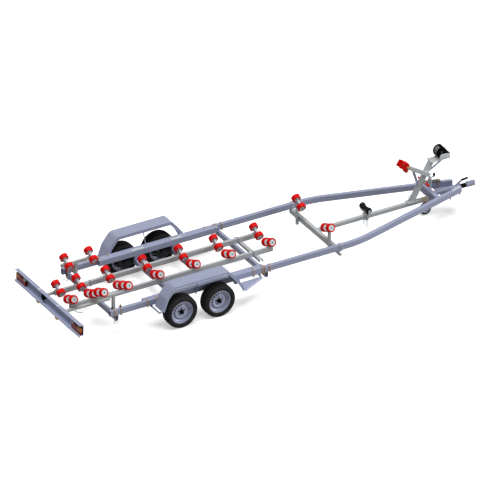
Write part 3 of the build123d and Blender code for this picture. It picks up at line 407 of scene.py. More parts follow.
def turned(outline, steps=40):
    """A closed outline of (radius, height) points spun about Z."""
    bm = bmesh.new()
    points = [bm.verts.new((radius, 0, height)) for radius, height in outline]
    edges = [bm.edges.new(pair) for pair in zip(points, points[1:] + points[:1])]
    bmesh.ops.spin(
        bm, geom=points + edges, cent=(0, 0, 0), axis=(0, 0, 1), angle=math.tau, steps=steps,
        use_merge=True,
    )
    bmesh.ops.remove_doubles(bm, verts=bm.verts[:], dist=1e-6)
    bmesh.ops.recalc_face_normals(bm, faces=bm.faces[:])
    return bm


def mirrored(half):
    """A closed outline from its lower half, with the same again above."""
    return half + [(radius, -height) for radius, height in reversed(half)]


def hoop(radius, rod):
    """A ring of round rod about Z."""
    turns = (0, 1.05, 2.09, 3.14, 4.19, 5.24)
    return turned([(radius + rod * math.cos(turn), rod * math.sin(turn)) for turn in turns], 28)


def ease(bm, edges, depth, segments=2):
    """Rounds edges off."""
    bmesh.ops.bevel(
        bm, geom=edges, offset=depth, segments=segments, profile=0.5, affect="EDGES", material=-1
    )


def block(size, edge=0.0, segments=2):
    """A box about the origin with rounded edges."""
    bm = bmesh.new()
    bmesh.ops.create_cube(bm, size=1)
    bmesh.ops.scale(bm, vec=size, verts=bm.verts[:])
    if edge:
        ease(bm, bm.edges[:], edge, segments)
    return bm


def slab(outline, thickness, edge=0.0):
    """A flat outline in XY drawn up along Z, with its edges eased."""
    bm = bmesh.new()
    face = bm.faces.new([bm.verts.new((x, y, 0)) for x, y in outline])
    grown = bmesh.ops.extrude_face_region(bm, geom=[face])
    top = [item for item in grown["geom"] if isinstance(item, bmesh.types.BMVert)]
    bmesh.ops.translate(bm, vec=(0, 0, thickness), verts=top)
    bmesh.ops.recalc_face_normals(bm, faces=bm.faces[:])
    if edge:
        ease(bm, bm.edges[:], edge)
    return bm


def pin(radius, height, sides=16, edge=0.0):
    """A round or many-sided pin standing on the origin."""
    bm = bmesh.new()
    bmesh.ops.create_cone(
        bm, cap_ends=True, segments=sides, radius1=radius, radius2=radius, depth=height
    )
    bmesh.ops.translate(bm, vec=(0, 0, height / 2), verts=bm.verts[:])
    if edge:
        rims = [e for e in bm.edges if abs(e.verts[0].co.z - e.verts[1].co.z) < 1e-7]
        ease(bm, rims, edge)
    return bm


class Drawn:
    """A round section drawn along straight runs and bends, from a placement's Z."""

    def __init__(self, placement, radius, sides=10):
        self.bm = bmesh.new()
        bmesh.ops.create_circle(self.bm, cap_ends=True, radius=radius, segments=sides)
        bmesh.ops.transform(self.bm, matrix=placement, verts=self.bm.verts[:])
        self.top = self.bm.faces[:]
        self.way = (placement.to_3x3() @ UP).normalized()

    def _grow(self):
        grown = bmesh.ops.extrude_face_region(self.bm, geom=self.top)["geom"]
        self.top = [item for item in grown if isinstance(item, bmesh.types.BMFace)]
        return [item for item in grown if isinstance(item, bmesh.types.BMVert)]

    def run(self, distance):
        bmesh.ops.translate(self.bm, vec=self.way * distance, verts=self._grow())
        return self

    def bend(self, axis, radius, degrees, steps=5):
        """Turns about an axis, with its centre beside the section's middle."""
        axis = Vector(axis).normalized()
        middle = self.top[0].calc_center_median()
        centre = middle + axis.cross(self.way).normalized() * radius
        turn = Matrix.Rotation(math.radians(degrees) / steps, 3, axis)
        for _ in range(steps):
            bmesh.ops.rotate(self.bm, cent=centre, matrix=turn, verts=self._grow())
        self.way = (Matrix.Rotation(math.radians(degrees), 3, axis) @ self.way).normalized()
        return self

    def done(self):
        bmesh.ops.recalc_face_normals(self.bm, faces=self.bm.faces[:])
        return self.bm


def bent_rod(points, bend_radius, rod, sides=10):
    """A round rod through points, with a bend at each corner."""
    points = [Vector(point) for point in points]
    ways = [(far - near).normalized() for near, far in zip(points, points[1:])]
    path = Drawn(aimed(points[0], ways[0]), rod, sides)
    used = 0.0
    for place, way in enumerate(ways):
        length = (points[place + 1] - points[place]).length
        if place + 1 < len(ways):
            after = ways[place + 1]
            turn = way.angle(after)
            cut = bend_radius * math.tan(turn / 2)
            path.run(length - used - cut)
            path.bend(way.cross(after).normalized(), bend_radius, math.degrees(turn))
            used = cut
        else:
            path.run(length - used)
    return path.done()


def inset(points, depth):
    """The corners of an arch moved inwards by a depth."""
    moved = []
    for place, (x, z) in enumerate(points):
        sides = []
        for near, far in ((place - 1, place), (place, place + 1)):
            if near >= 0 and far < len(points):
                run = (Vector(points[far]) - Vector(points[near])).normalized()
                sides.append(Vector((run.y, -run.x)))
        middle = sum(sides, Vector((0, 0))).normalized()
        move = middle * depth / middle.dot(sides[0])
        moved.append((x + move.x, z + move.y))
    return moved


class Piece:
    """A new object of the trailer, gathered from placed shapes."""

    def __init__(self, name):
        self.name = name
        self.bm = bmesh.new()
        self.used = []

    def put(self, shape, finish, placement=None):
        """Adds a shape in a finish, at a placement."""
        if finish not in self.used:
            self.used.append(finish)
        for face in shape.faces:
            face.material_index = self.used.index(finish)
        if placement is not None:
            bmesh.ops.transform(shape, matrix=placement, verts=shape.verts[:])
        part = bpy.data.meshes.new("part")
        shape.to_mesh(part)
        shape.free()
        self.bm.from_mesh(part)
        bpy.data.meshes.remove(part)

    def bolt(self, point, axis, size, finish="gold"):
        """A hexagon head on its washer."""
        where = aimed(point, axis)
        self.put(pin(size * 1.05, size * 0.18, 18, size * 0.04), finish, where)
        head = pin(size * 0.88, size * 0.75, 6, size * 0.08)
        self.put(head, finish, where @ Matrix.Translation((0, 0, size * 0.18)))

    def box(self, size, edge, finish, middle, segments=2):
        """Adds a box with rounded edges about a point."""
        self.put(block(size, edge, segments), finish, Matrix.Translation(middle))

    def finished(self, body="chassis", stands_for=(), sharp=32):
        """Makes the object, rides it on its body and names what it replaces."""
        mesh = bpy.data.meshes.new(self.name)
        self.bm.to_mesh(mesh)
        self.bm.free()
        for finish in self.used:
            mesh.materials.append(finishes[finish])
        for polygon in mesh.polygons:
            polygon.use_smooth = True
        mesh.set_sharp_from_angle(angle=math.radians(sharp))
        piece = bpy.data.objects.new(self.name, mesh)
        bpy.context.scene.collection.objects.link(piece)
        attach(piece, body)
        if stands_for:
            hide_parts(*stands_for)
        return piece


def corners_of(node):
    """The low and high corners of the box round one of the frame's pieces."""
    return (Vector(corner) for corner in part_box(node))


def centre_of(node):
    low, high = corners_of(node)
    return (low + high) / 2


# ------------------------------------------------------------------ operators
# the finish of each of the frame's own pieces, by how its name starts; the rest are folded zinc
NODE_FINISHES = (
    ("red", ("keel_rollers", "side_rollers", "front_rollers", "bow_block")),
    ("tube", ("keel_beam", "side_beam", "centre_beam", "front_roller_frame", "carrier_channel")),
    ("tube", ("jockey_tube", "jockey_leg")),
    ("post", ("winch_post",)),
    ("axle", ("axle_rear", "axle_front")),
    ("board", ("light_bar",)),
    ("rubber", ("bellows", "keel_roller", "jockey_wheel")),
    ("black", ("winch",)),
    ("lens", ("lamp_",)),
    ("wheel", ("rim_",)),
    ("tyre", ("tyre_",)),
)


class TRAILER_OT_finishes(bpy.types.Operator):
    """Make the finishes and put them on the frame's own pieces"""

    bl_idname = "trailer.finishes"
    bl_label = "Finishes"

    def execute(self, context):
        make_finishes(context.scene.trailer_colours, context.scene.trailer_sizes)
        for name, node in frame["nodes"].items():
            fits = (finish for finish, starts in NODE_FINISHES if name.startswith(starts))
            finish = next(fits, "folded")
            node.data.materials.clear()
            node.data.materials.append(finishes[finish])
        return {"FINISHED"}


class TRAILER_OT_rollers(bpy.types.Operator):
    """Make the red roller pairs with their moulded hubs and shafts"""

    bl_idname = "trailer.rollers"
    bl_label = "Red rollers"

    def execute(self, context):
        sizes = context.scene.trailer_sizes
        r, half = sizes.roller_radius, sizes.roller_width / 2
        rim, bore = r - 0.023, 0.0103
        tread = [
            (rim, -half + 0.008), (rim + 0.001, -half), (r - 0.007, -half), (r - 0.002, -half + 0.002),
            (r, -half + 0.007),
        ]
        hub = [
            (bore, -half + 0.001), (0.019, -half + 0.001), (0.020, -half + 0.006),
            (0.038, -half + 0.007), (0.041, -half + 0.003), (rim, -half + 0.003),
        ]
        names = [name for name in frame["nodes"] if "rollers" in name]
        for name in names:
            middle = centre_of(name)
            side = 1 if middle.y > 0 else -1
            tilt = sizes.roller_tilt
            shaft = Vector((0, side * math.cos(tilt), math.sin(tilt)))
            pair = Piece(name.replace("rollers", "pair"))
            for end in (-1, 1):
                centre = middle + shaft * end * sizes.roller_spacing / 2
                place = aimed(centre, shaft)
                pair.put(turned(mirrored(tread), 44), "red", place)
                pair.put(turned(mirrored(hub), 44), "hub", place)
                cap = centre + shaft * end * (half - 0.002)
                pair.put(pin(0.0105, 0.003, 20, 0.0008), "dark", aimed(cap, shaft * end))
                for spoke in range(6):
                    turn = Matrix.Rotation(math.tau * spoke / 6, 4, "Z")
                    rib = block((0.022, 0.004, sizes.roller_width - 0.008), 0.001, 1)
                    pair.put(rib, "hub", place @ turn @ Matrix.Translation((0.0295, 0, 0)))
            pair.finished(frame_body(name), [name])
        return {"FINISHED"}


def frame_body(node):
    """The body that a CAD node rides on."""
    for body, nodes in frame["record"]["behaviour"]["bodies"].items():
        if node in nodes:
            return body
    raise ValueError(f"no body holds {node}")


class TRAILER_OT_tyres(bpy.types.Operator):
    """Make the road tyres with ribs, cross cuts and sidewall steps"""

    bl_idname = "trailer.tyres"
    bl_label = "Tyres"

    def execute(self, context):
        sizes = context.scene.trailer_sizes
        top, wide = sizes.tyre_radius, sizes.tyre_width / 2
        half = [
            (top, 0.0110), (top - 0.006, 0.0125), (top - 0.006, 0.0200), (top - 0.0004, 0.0215),
            (top - 0.0008, 0.0420), (top - 0.0066, 0.0435), (top - 0.0068, 0.0510),
            (top - 0.0014, 0.0525), (top - 0.0035, 0.0730), (top - 0.0090, 0.0845),
            (top - 0.0200, 0.0905), (top - 0.0225, 0.0930), (top - 0.0450, wide - 0.001),
            (top - 0.0520, wide), (top - 0.0640, wide - 0.001), (top - 0.0660, wide - 0.003),
            (top - 0.0740, wide - 0.005), (top - 0.0780, wide - 0.012), (top - 0.0790, 0.0665),
            (0.1712, 0.0662),
        ]
        outline = [(radius, -out) for radius, out in reversed(half)] + half
        steps = sizes.tread_pitches * 3
        for name in [n for n in frame["nodes"] if n.startswith("tyre_")]:
            middle = centre_of(name)
            tyre = turned(outline, steps)
            cuts, sipes = [], []
            for face in tyre.faces:
                at = face.calc_center_median()
                radius, across = math.hypot(at.x, at.y), abs(at.z)
                turn = round(math.atan2(at.y, at.x) / math.tau * steps - 0.5)
                if radius > top - 0.0075 and 0.053 < across < 0.084 and turn % 3 == 0:
                    cuts.append(face)
                elif radius > top - 0.003 and 0.022 < across < 0.0415 and (turn + (at.z > 0)) % 3 == 1:
                    sipes.append(face)
            for faces, depth, wall in ((cuts, -0.005, 0.0012), (sipes, -0.004, 0.0035)):
                bmesh.ops.inset_individual(tyre, faces=faces, thickness=wall, depth=depth)
            side = 1 if middle.y > 0 else -1
            piece = Piece(name.replace("tyre", "road_tyre"))
            piece.put(tyre, "tyre", aimed(middle, (0, side, 0)))
            piece.finished(frame_body(name), [name], 28)
        return {"FINISHED"}


class TRAILER_OT_wheels(bpy.types.Operator):
    """Put bolts, black discs of painted shade in the vents, a black hub cap, a weld seam and a valve on
    each wheel
    """

    bl_idname = "trailer.wheels"
    bl_label = "Wheel fittings"

    def execute(self, context):
        sizes = context.scene.trailer_sizes
        face_out = sizes.disc_offset
        lip = 0.072 - face_out
        for name in [n for n in frame["nodes"] if n.startswith("rim_")]:
            middle = centre_of(name)
            side = 1 if middle.y > 0 else -1
            hub = Vector((middle.x, side * (sizes.wheel_y + face_out), middle.z))
            piece = Piece(name.replace("rim", "wheel_fittings"))
            out = Vector((0, side, 0))
            for place in range(5):
                turn = math.radians(90) + math.tau * place / 5
                arm = Vector((math.cos(turn), 0, math.sin(turn))) * sizes.bolt_circle
                piece.bolt(hub + arm + out * 0.0003, out, 0.0105, "dark")
            # black discs in the sixteen vents: painted shade for the dark inside the open vent holes
            for place in range(16):
                turn = math.tau * place / 16
                arm = Vector((math.cos(turn), 0, math.sin(turn)))
                spot = hub + arm * 0.122 + out * -0.0006
                piece.put(pin(0.0130, 0.0012, 16), "black", aimed(spot, out * 0.832 + arm * 0.555))
            cap = [
                (0.0001, 0.0345), (0.010, 0.0365), (0.0225, 0.0365), (0.026, 0.0355), (0.0345, 0.0265),
                (0.0355, 0.0235), (0.0355, 0.0003), (0.0333, 0.0003), (0.0333, 0.0243),
                (0.0233, 0.0343), (0.0001, 0.0343),
            ]
            piece.put(turned(cap, 36), "black", aimed(hub, out))
            valve = hub + Vector((0.147, 0, 0.0)) + out * -0.012
            piece.put(pin(0.004, 0.026, 10, 0.001), "rubber", aimed(valve, out + Vector((-0.35, 0, 0))))
            ring = [
                (0.1905, lip + 0.0005), (0.1865, lip + 0.0025), (0.1835, lip + 0.0005),
                (0.1835, lip - 0.0005), (0.1905, lip - 0.0005),
            ]
            piece.put(turned(ring, 64), "wheel", aimed(hub, out))
            piece.finished(frame_body(name))
        return {"FINISHED"}


def rail_middle(x, side):
    """The middle of a side rail at a place along the trailer, and the way that it runs."""
    bend, front = Vector((1.289, 0.741)), Vector((3.463, 0.126))
    if x <= bend.x:
        return Vector((x, side * bend.y)), Vector((1, 0, 0))
    share = (x - bend.x) / (front.x - bend.x)
    run = (front - bend).normalized()
    return Vector((x, side * (bend.y + (front.y - bend.y) * share))), Vector((run.x, side * run.y, 0))


def add_ubolt(piece, middle, run, half_width, low, high, finish="gold"):
    """A U-bolt over a beam: its bow on top, its legs down both sides, nuts below."""
    rod = bpy.context.scene.trailer_sizes.ubolt_rod
    across = UP.cross(run).normalized() * (half_width + rod)
    base = Vector((middle.x, middle.y, 0))
    corners = [(-1, low), (-1, high + rod), (1, high + rod), (1, low)]
    bow = bent_rod([base + across * way + UP * height for way, height in corners], 0.008, rod)
    piece.put(bow, finish)
    for way in (-1, 1):
        nut = base + across * way + UP * (low + 0.008)
        piece.put(pin(rod * 1.9, 0.009, 6, 0.001), finish, aimed(nut, UP))


def on_rail(x, side, z):
    """A placement over or under a side rail's middle line, turned the way it runs."""
    middle, run = rail_middle(x, side)
    return aimed((middle.x, middle.y, z), UP, run)


def rail_ubolt(piece, x, side, finish="gold", top=RAIL_TOP):
    """A U-bolt over a side rail; a gold one has a dark plate below."""
    middle, run = rail_middle(x, side)
    add_ubolt(piece, middle, run, RAIL_HALF, UBOLT_FOOT, top, finish)
    if finish == "gold":
        piece.put(block(UBOLT_PLATE, 0.001), "dark", on_rail(x, side, 0.3972))


class TRAILER_OT_rail_fasteners(bpy.types.Operator):
    """Clamp the cross-members and stays to the rails with U-bolts"""

    bl_idname = "trailer.rail_fasteners"
    bl_label = "U-bolts on the rails"

    def execute(self, context):
        places = (-3.038, -2.933, -2.468, -2.303, -0.598, -0.434, -0.398, -0.306)
        for side_name, side in OUTWARD.items():
            piece = Piece(f"rail_ubolts_{side_name}")
            for x in places:
                rail_ubolt(piece, x, side)
            for x in (0.944, 0.970):
                rail_ubolt(piece, x, side, "bright")
            piece.finished()
        return {"FINISHED"}


class TRAILER_OT_rail_brackets(bpy.types.Operator):
    """Add the clamp brackets, lashing rings, cover strips, studs and pads of the rails"""

    bl_idname = "trailer.rail_brackets"
    bl_label = "Rail brackets"

    def execute(self, context):
        for side_name, side in OUTWARD.items():
            piece = Piece(f"rail_brackets_{side_name}")
            # clamps on the inner face beside the rear cross-member
            finish = "black" if side < 0 else "steel"
            for x in (-3.062, -2.915):
                piece.box((0.024, 0.009, 0.166), 0.002, finish, (x, side * 0.7062, 0.449))
                piece.box((0.024, 0.030, 0.010), 0.002, finish, (x, side * 0.7160, 0.5052))
            # a lashing ring under the rear end
            eye = Vector((-3.012, side * 0.741, 0.2980))
            piece.box((0.034, 0.034, 0.024), 0.004, "bright", eye)
            below = eye + Vector((-0.008, side * 0.020, -0.018))
            piece.put(hoop(0.036, 0.0045), "folded", aimed(below, (-0.25, -0.15 * side, 1)))
            # cover strips on the converging ends
            piece.put(block((0.190, 0.042, 0.004), 0.0015), "bright", on_rail(3.368, side, 0.5022))
            # studs under the nose plate
            for x in (3.246, 3.452):
                middle, _ = rail_middle(x, side)
                stud = pin(0.011, 0.034, 12, 0.002)
                piece.put(stud, "black", Matrix.Translation((middle.x, middle.y, 0.3575)))
            # pads over the axle beam at each axle
            for x, long in ((-1.8185, 0.215), (-1.1375, 0.193)):
                piece.box((long, 0.056, 0.005), 0.001, "bright", (x, side * 0.681, 0.5027))
            piece.finished()
        return {"FINISHED"}


class TRAILER_OT_beam_fittings(bpy.types.Operator):
    """Strap the keel beams down and add their plates, pivot bolts and slider handle"""

    bl_idname = "trailer.beam_fittings"
    bl_label = "Beam fittings"

    def execute(self, context):
        for side_name, side in OUTWARD.items():
            piece = Piece(f"beam_fittings_{side_name}")
            beam_y = side * KEEL_BEAM_Y
            for x in (-2.908, -0.300):
                middle = Vector((x, beam_y))
                add_ubolt(piece, middle, Vector((1, 0, 0)), 0.0225, 0.392, 0.4803, "folded")
                piece.box((0.026, 0.072, 0.005), 0.001, "folded", (x, beam_y, 0.3970))
            for face in (-1, 1):
                spot = (-2.979, beam_y + face * 0.0247, 0.4400)
                piece.box((0.052, 0.004, 0.076), 0.001, "bright", spot)
                piece.bolt((-2.979, beam_y + face * 0.0267, 0.440), (0, face, 0), 0.009)
            for node in [n for n in frame["nodes"] if "rollers" in n and side_name in n]:
                middle = centre_of(node)
                for face in (-1, 1):
                    piece.bolt(middle + Vector((face * 0.0182, 0, 0)), (face, 0, 0), 0.009, "dark")
            piece.finished("chassis")
        handle = Piece("slider_handle")
        lever = Drawn(aimed((-3.474, -SLIDER_Y, 0.3995), (0.10, 0, -1), (0, 1, 0)), 0.0060)
        lever.run(0.020).bend((0, -1, 0), 0.020, 40).run(0.030).bend((0, -1, 0), 0.020, 22).run(0.105)
        handle.put(lever.done(), "folded")
        handle.put(pin(0.013, 0.008, 6, 0.001), "bright", aimed((-3.474, -SLIDER_Y, 0.392), UP))
        handle.finished()
        return {"FINISHED"}


class TRAILER_OT_nose_fittings(bpy.types.Operator):
    """Add the bolts, eye and sleeves round the winch post, the bow stop and the jockey clamp"""

    bl_idname = "trailer.nose_fittings"
    bl_label = "Nose fittings"

    def execute(self, context):
        piece = Piece("nose_fittings")
        for x in (3.055, 3.240):
            rail_ubolt(piece, x, 1, top=0.5221)
        for x in (2.862, 2.912):
            add_ubolt(piece, Vector((x, 0)), Vector((1, 0, 0)), RAIL_HALF, 0.326, 0.3983)
            piece.box(UBOLT_PLATE, 0.001, "dark", (x, 0, 0.3352))
        # the jockey clamp's plate on the left rail
        piece.put(block((0.2505, 0.0845, 0.014), 0.003), "steel", on_rail(3.158, 1, 0.5071))
        # bolts of the post's foot
        for x in (2.592, 2.724):
            for y in (-0.042, 0.042):
                piece.bolt((x, y, 0.4060), UP, 0.009, "bright")
        # the eye on the post's back
        eye = aimed((2.6300, 0, 0.476), (0, 1, 0.15)) @ Matrix.Diagonal((1.35, 0.95, 1, 1))
        piece.put(hoop(0.026, 0.0055), "folded", eye)
        piece.box((0.020, 0.020, 0.018), 0.003, "bright", (2.6640, 0, 0.482))
        # red sleeves on the hand bar
        sleeve = [
            (0.0131, 0), (0.0165, 0.001), (0.0175, 0.004),
            (0.0175, 0.072), (0.0165, 0.076), (0.0131, 0.077),
        ]
        x, z = HAND_BAR
        for side in (-1, 1):
            piece.put(turned(sleeve, 24), "red", aimed((x, side * 0.074, z), (0, side, 0)))
            piece.put(pin(0.0165, 0.003, 24, 0.001), "red", aimed((x, side * 0.1520, z), (0, side, 0)))
        # the bow stop's lobe, and the bolts and strap that hold it to its arm
        arm = aimed((2.549, -0.030, 1.066), (0.532, 0, 0.847), (0.847, 0, -0.532))
        lobe = block((0.044, 0.092, 0.064), 0.010, 3)
        piece.put(lobe, "red", arm @ Matrix.Translation((0.020, 0, -0.060)))
        for *where, size in (
            (0.016, -0.0602, 0.008, 0.0150), (0.030, -0.0462, -0.056, 0.0140),
            (-0.122, -0.0552, 0.026, 0.0075),
        ):
            piece.bolt(arm @ Vector(where), (0, -1, 0), size)
        strap = block((0.070, 0.006, 0.026), 0.002)
        piece.put(strap, "gold", arm @ Matrix.Translation((0.006, -0.0585, 0.006)))
        piece.finished()
        return {"FINISHED"}


class TRAILER_OT_guard_fittings(bpy.types.Operator):
    """Add bolts, edge beads lightened as painted highlights, a painted highlight along the top fold,
    and the rear stays' sleeves to the mudguards
    """

    bl_idname = "trailer.guard_fittings"
    bl_label = "Mudguard fittings"

    def execute(self, context):
        for side_name, side in OUTWARD.items():
            piece = Piece(f"guard_fittings_{side_name}")
            rail_ubolt(piece, -1.620, side, "bright")
            for height in (0.390, 0.502):
                piece.bolt((-1.620, side * 0.7765, height), (0, side, 0), 0.0105)
            piece.bolt((-1.619, side * 0.905, 0.7512), UP, 0.008, "bright")
            # the rolled edge along the outer skirt and the step, in zinc lightened as a painted
            # highlight; the thin rod along the top fold is only a painted highlight
            for depth, out, rod_radius in ((0.036, 1.0000, 0.0065), (0.004, 1.0015, 0.0030)):
                edge = [(x, side * out, z) for x, z in inset(GUARD_CORNERS, depth)]
                piece.put(bent_rod(edge, 0.096 - depth, rod_radius, 8), "bead")
            step = [(-0.872, side * 0.9990, 0.3430), (-0.452, side * 0.7970, 0.3430)]
            piece.put(bent_rod(step, 0.010, 0.0065, 8), "bead")
            # the rear stay's sleeve
            stay = [(-2.381, 0.716, 0.365), (-2.381, 0.988, 0.365), (-2.312, 0.988, 0.3915)]
            stay = [(x, side * y, z) for x, y, z in stay]
            piece.put(bent_rod(stay, 0.026, 0.0158, 12), "folded")
            piece.finished()
        return {"FINISHED"}


class TRAILER_OT_lamps(bpy.types.Operator):
    """Make the rear lamps, the plate lamp and the light board's clamps"""

    bl_idname = "trailer.lamps"
    bl_label = "Light board"

    def execute(self, context):
        for side_name, side in OUTWARD.items():
            node = f"lamp_{side_name}"
            low, high = corners_of(node)
            # the lens is a little narrower than the lamp's room, on its inner side
            if side > 0:
                low.y += 0.036
            else:
                high.y -= 0.036
            middle = (low + high) / 2
            size = high - low
            lamp = Piece(f"rear_lamp_{side_name}")
            lamp.box((0.016, size.y, size.z), 0.003, "black", (high.x - 0.008, middle.y, middle.z))
            # each part of the lens: finish, then middle and size as shares across and upwards
            depth = size.x - 0.0163
            parts = (
                ("amber", 0.335, 0.325, 0.195, 0.60),
                ("lens", 0.335, 0.325, -0.300, 0.385),
                ("lens", 0.0, 0.340, 0.0, 0.985),
                ("lens", -0.235, 0.125, 0.0, 0.985),
                ("clear", -0.397, 0.195, 0.350, 0.280),
                ("lens", -0.397, 0.195, -0.145, 0.695),
            )
            for finish, across, wide, up, tall in parts:
                where = (low.x + depth / 2, middle.y + side * size.y * across, middle.z + size.z * up)
                lamp.box((depth, size.y * wide, size.z * tall), 0.003, finish, where)
            # the triangular reflector stands on the middle part
            triangle = slab([(-0.026, -0.015), (0.026, -0.015), (0.0, 0.029)], 0.003, 0.0008)
            spot = Vector((low.x + 0.0012, middle.y - side * size.y * 0.10, middle.z + 0.012))
            face = aimed(spot, (-1, 0, 0), (0, 1, 0)) @ Matrix.Rotation(math.pi, 4, "Z")
            lamp.put(triangle, "lens", face)
            lamp.finished("light_board", [node])
        board = Piece("board_fittings")
        low, high = corners_of("light_bar")
        for y in (-SLIDER_Y, SLIDER_Y):
            # a saddle over the board's top, above each slider, and a block below
            board.box((0.064, 0.038, 0.003), 0.0005, "bright", (low.x + 0.0322, y, high.z - 0.0010), 1)
            board.box((0.003, 0.038, 0.030), 0.0005, "bright", (low.x + 0.0595, y, high.z - 0.020), 1)
            nut = Vector((low.x + 0.018, 0.028 + y, 0.343))
            board.box((0.034, 0.062, 0.034), 0.004, "gold", nut - UP * 0.024)
            board.put(pin(0.0065, 0.034, 12, 0.001), "gold", aimed(nut, -UP))
        board.box((0.052, 0.078, 0.060), 0.006, "black", (-3.763, 0.165, 0.482), 3)
        board.box((0.030, 0.064, 0.022), 0.004, "black", (-3.776, 0.165, 0.443))
        board.finished("light_board")
        return {"FINISHED"}


class TRAILER_OT_winch(bpy.types.Operator):
    """Make the winch with its cheeks, cover, strap drum and frame"""

    bl_idname = "trailer.winch"
    bl_label = "Winch"

    def execute(self, context):
        axis = Vector((3.162, 0, 1.154))
        # outlines lie upright: X along the trailer and Y up, from the winch's axle
        cheek = [
            (0.142, -0.034), (0.128, -0.028), (0.052, 0.076), (0.030, 0.087), (0.0, 0.092),
            (-0.036, 0.085), (-0.066, 0.064), (-0.086, 0.033), (-0.092, 0.0), (-0.086, -0.033),
            (-0.066, -0.072), (-0.030, -0.112), (0.005, -0.117), (0.119, -0.096), (0.142, -0.088),
            (0.155, -0.066), (0.153, -0.048),
        ]
        # the cover bridges the cheeks over the top and down the front
        cover = [
            (-0.012, 0.0915), (0.030, 0.086), (0.052, 0.075), (0.128, -0.029), (0.142, -0.035),
            (0.152, -0.048), (0.146, -0.052), (0.122, -0.036), (0.047, 0.069), (0.028, 0.080),
            (-0.012, 0.0855),
        ]
        winch = Piece("winch_unit")

        def plates(outline, thickness, edge, finish, *places):
            """Puts the same upright plate at places across the winch."""
            for far in places:
                place = aimed(axis + Vector((0, far, 0)), (0, -1, 0), (1, 0, 0))
                winch.put(slab(outline, thickness, edge), finish, place)

        plates(cheek, 0.0095, 0.002, "black", -0.0505, 0.0600)
        plates(cover, 0.110, 0.001, "black", 0.0550)
        for side in (-1, 1):
            hub = turned([(0.0001, 0), (0.024, 0), (0.024, 0.016), (0.018, 0.021), (0.0001, 0.021)], 24)
            winch.put(hub, "dark", aimed(axis + Vector((0, side * 0.042, 0)), (0, side, 0)))
            winch.bolt(axis + Vector((0.122, side * 0.0595, -0.062)), (0, side, 0), 0.008, "bright")
        drum = turned(
            [(0.0001, -0.049)]
            + [(0.072 + 0.0015 * (turn % 2), -0.049 + 0.098 * turn / 28) for turn in range(29)]
            + [(0.0001, 0.049)],
            40,
        )
        winch.put(drum, "strap", aimed(axis, (0, 1, 0)))
        winch.box((0.223, 0.0995, 0.004), 0.001, "bright", (3.1925, 0, 1.0362))
        # the frame's side plates: an outer one low at the front and a low web at each side
        guard = [
            (-0.044, -0.118), (0.150, -0.118), (0.154, -0.080), (0.136, -0.048),
            (0.052, -0.036), (-0.012, -0.034), (-0.032, -0.066),
        ]
        web = [(-0.080, -0.118), (0.142, -0.118), (0.128, -0.072), (-0.052, -0.072)]
        plates(guard, 0.004, 0.001, "bright", -0.0602, 0.0642)
        plates(web, 0.004, 0.001, "bright", -0.0440, 0.0480)
        for x in (3.106, 3.276):
            for side in (-1, 1):
                winch.bolt((x, side * 0.028, 1.0384), UP, 0.010)
        winch.finished("chassis", ["winch"])
        return {"FINISHED"}


class TRAILER_OT_coupling(bpy.types.Operator):
    """Make the ribbed bellows, the brake lever's grip and the bolts along the coupling's sides"""

    bl_idname = "trailer.coupling"
    bl_label = "Coupling"

    def execute(self, context):
        low, high = corners_of("bellows")
        span = high.x - low.x
        radius = (high.z - low.z) / 2
        middle = (low + high) / 2
        pitch = span / 6
        # each rib's profile: how far in from the outside, at a share of its pitch
        rib = ((0.012, 0.04), (0.010, 0.22), (0.001, 0.40), (0, 0.50), (0.001, 0.60), (0.010, 0.78))
        outline = [(0.0262, 0.0)]
        for place in range(6):
            outline += [(radius - fall, span * place / 6 + pitch * share) for fall, share in rib]
        outline += [(radius - 0.012, span), (0.0262, span)]
        bellows = Piece("bellows_ribbed")
        bellows.put(turned(outline, 40), "rubber", aimed((low.x, middle.y, middle.z), (1, 0, 0)))
        bellows.finished("chassis", ["bellows"], 50)

        fittings = Piece("coupling_fittings")
        grip = Drawn(aimed((3.552, 0, 0.5235), (0.997, 0, 0.070)), 0.0165, 16)
        grip.run(0.116)
        fittings.put(grip.done(), "black")
        for side in (-1, 1):
            for x, y, z, size, finish in (
                (3.668, 0.032, 0.418, 0.011, "bright"), (3.712, 0.034, 0.410, 0.010, "gold"),
                (3.500, 0.040, 0.426, 0.011, "gold"), (3.240, 0.040, 0.426, 0.011, "gold"),
            ):
                fittings.bolt((x, side * y, z), (0, side, 0), size, finish)
        fittings.finished()
        return {"FINISHED"}


class TRAILER_OT_jockey(bpy.types.Operator):
    """Make the jockey wheel's tyre and hub, its knob and a bolt on its clamp"""

    bl_idname = "trailer.jockey"
    bl_label = "Jockey wheel"

    def execute(self, context):
        middle = centre_of("jockey_wheel")
        tyre = [
            (0.066, -0.026), (0.082, -0.030), (0.092, -0.028), (0.099, -0.018), (0.100, -0.006),
        ]
        hub = [
            (0.0083, -0.030), (0.018, -0.030), (0.020, -0.012), (0.055, -0.010), (0.060, -0.024),
            (0.068, -0.026), (0.066, -0.020),
        ]
        wheel = Piece("jockey_roller")
        wheel.put(turned(mirrored(tyre), 48), "rubber", aimed(middle, (0, 1, 0)))
        wheel.put(turned(mirrored(hub), 36), "bright", aimed(middle, (0, 1, 0)))
        wheel.finished("jockey_wheel", ["jockey_wheel"])
        fork = Piece("jockey_axle_bolts")
        for side in (-1, 1):
            fork.bolt((2.998, JOCKEY_Y + side * 0.042, 0.100), (0, side, 0), 0.011)
        fork.finished("jockey_fork")
        trim = Piece("jockey_trim")
        knob = turned(
            [
                (0.0112, 0.0), (0.0150, 0.002), (0.0160, 0.012), (0.0195, 0.034), (0.0205, 0.046),
                (0.0150, 0.051), (0.0001, 0.0512), (0.0001, 0.0508), (0.0112, 0.0500),
            ],
            28,
        )
        trim.put(knob, "black", aimed((3.154, JOCKEY_Y, 0.6300), UP))
        trim.bolt((3.078, JOCKEY_Y, 0.6365), UP, 0.009)
        trim.finished("chassis")
        return {"FINISHED"}


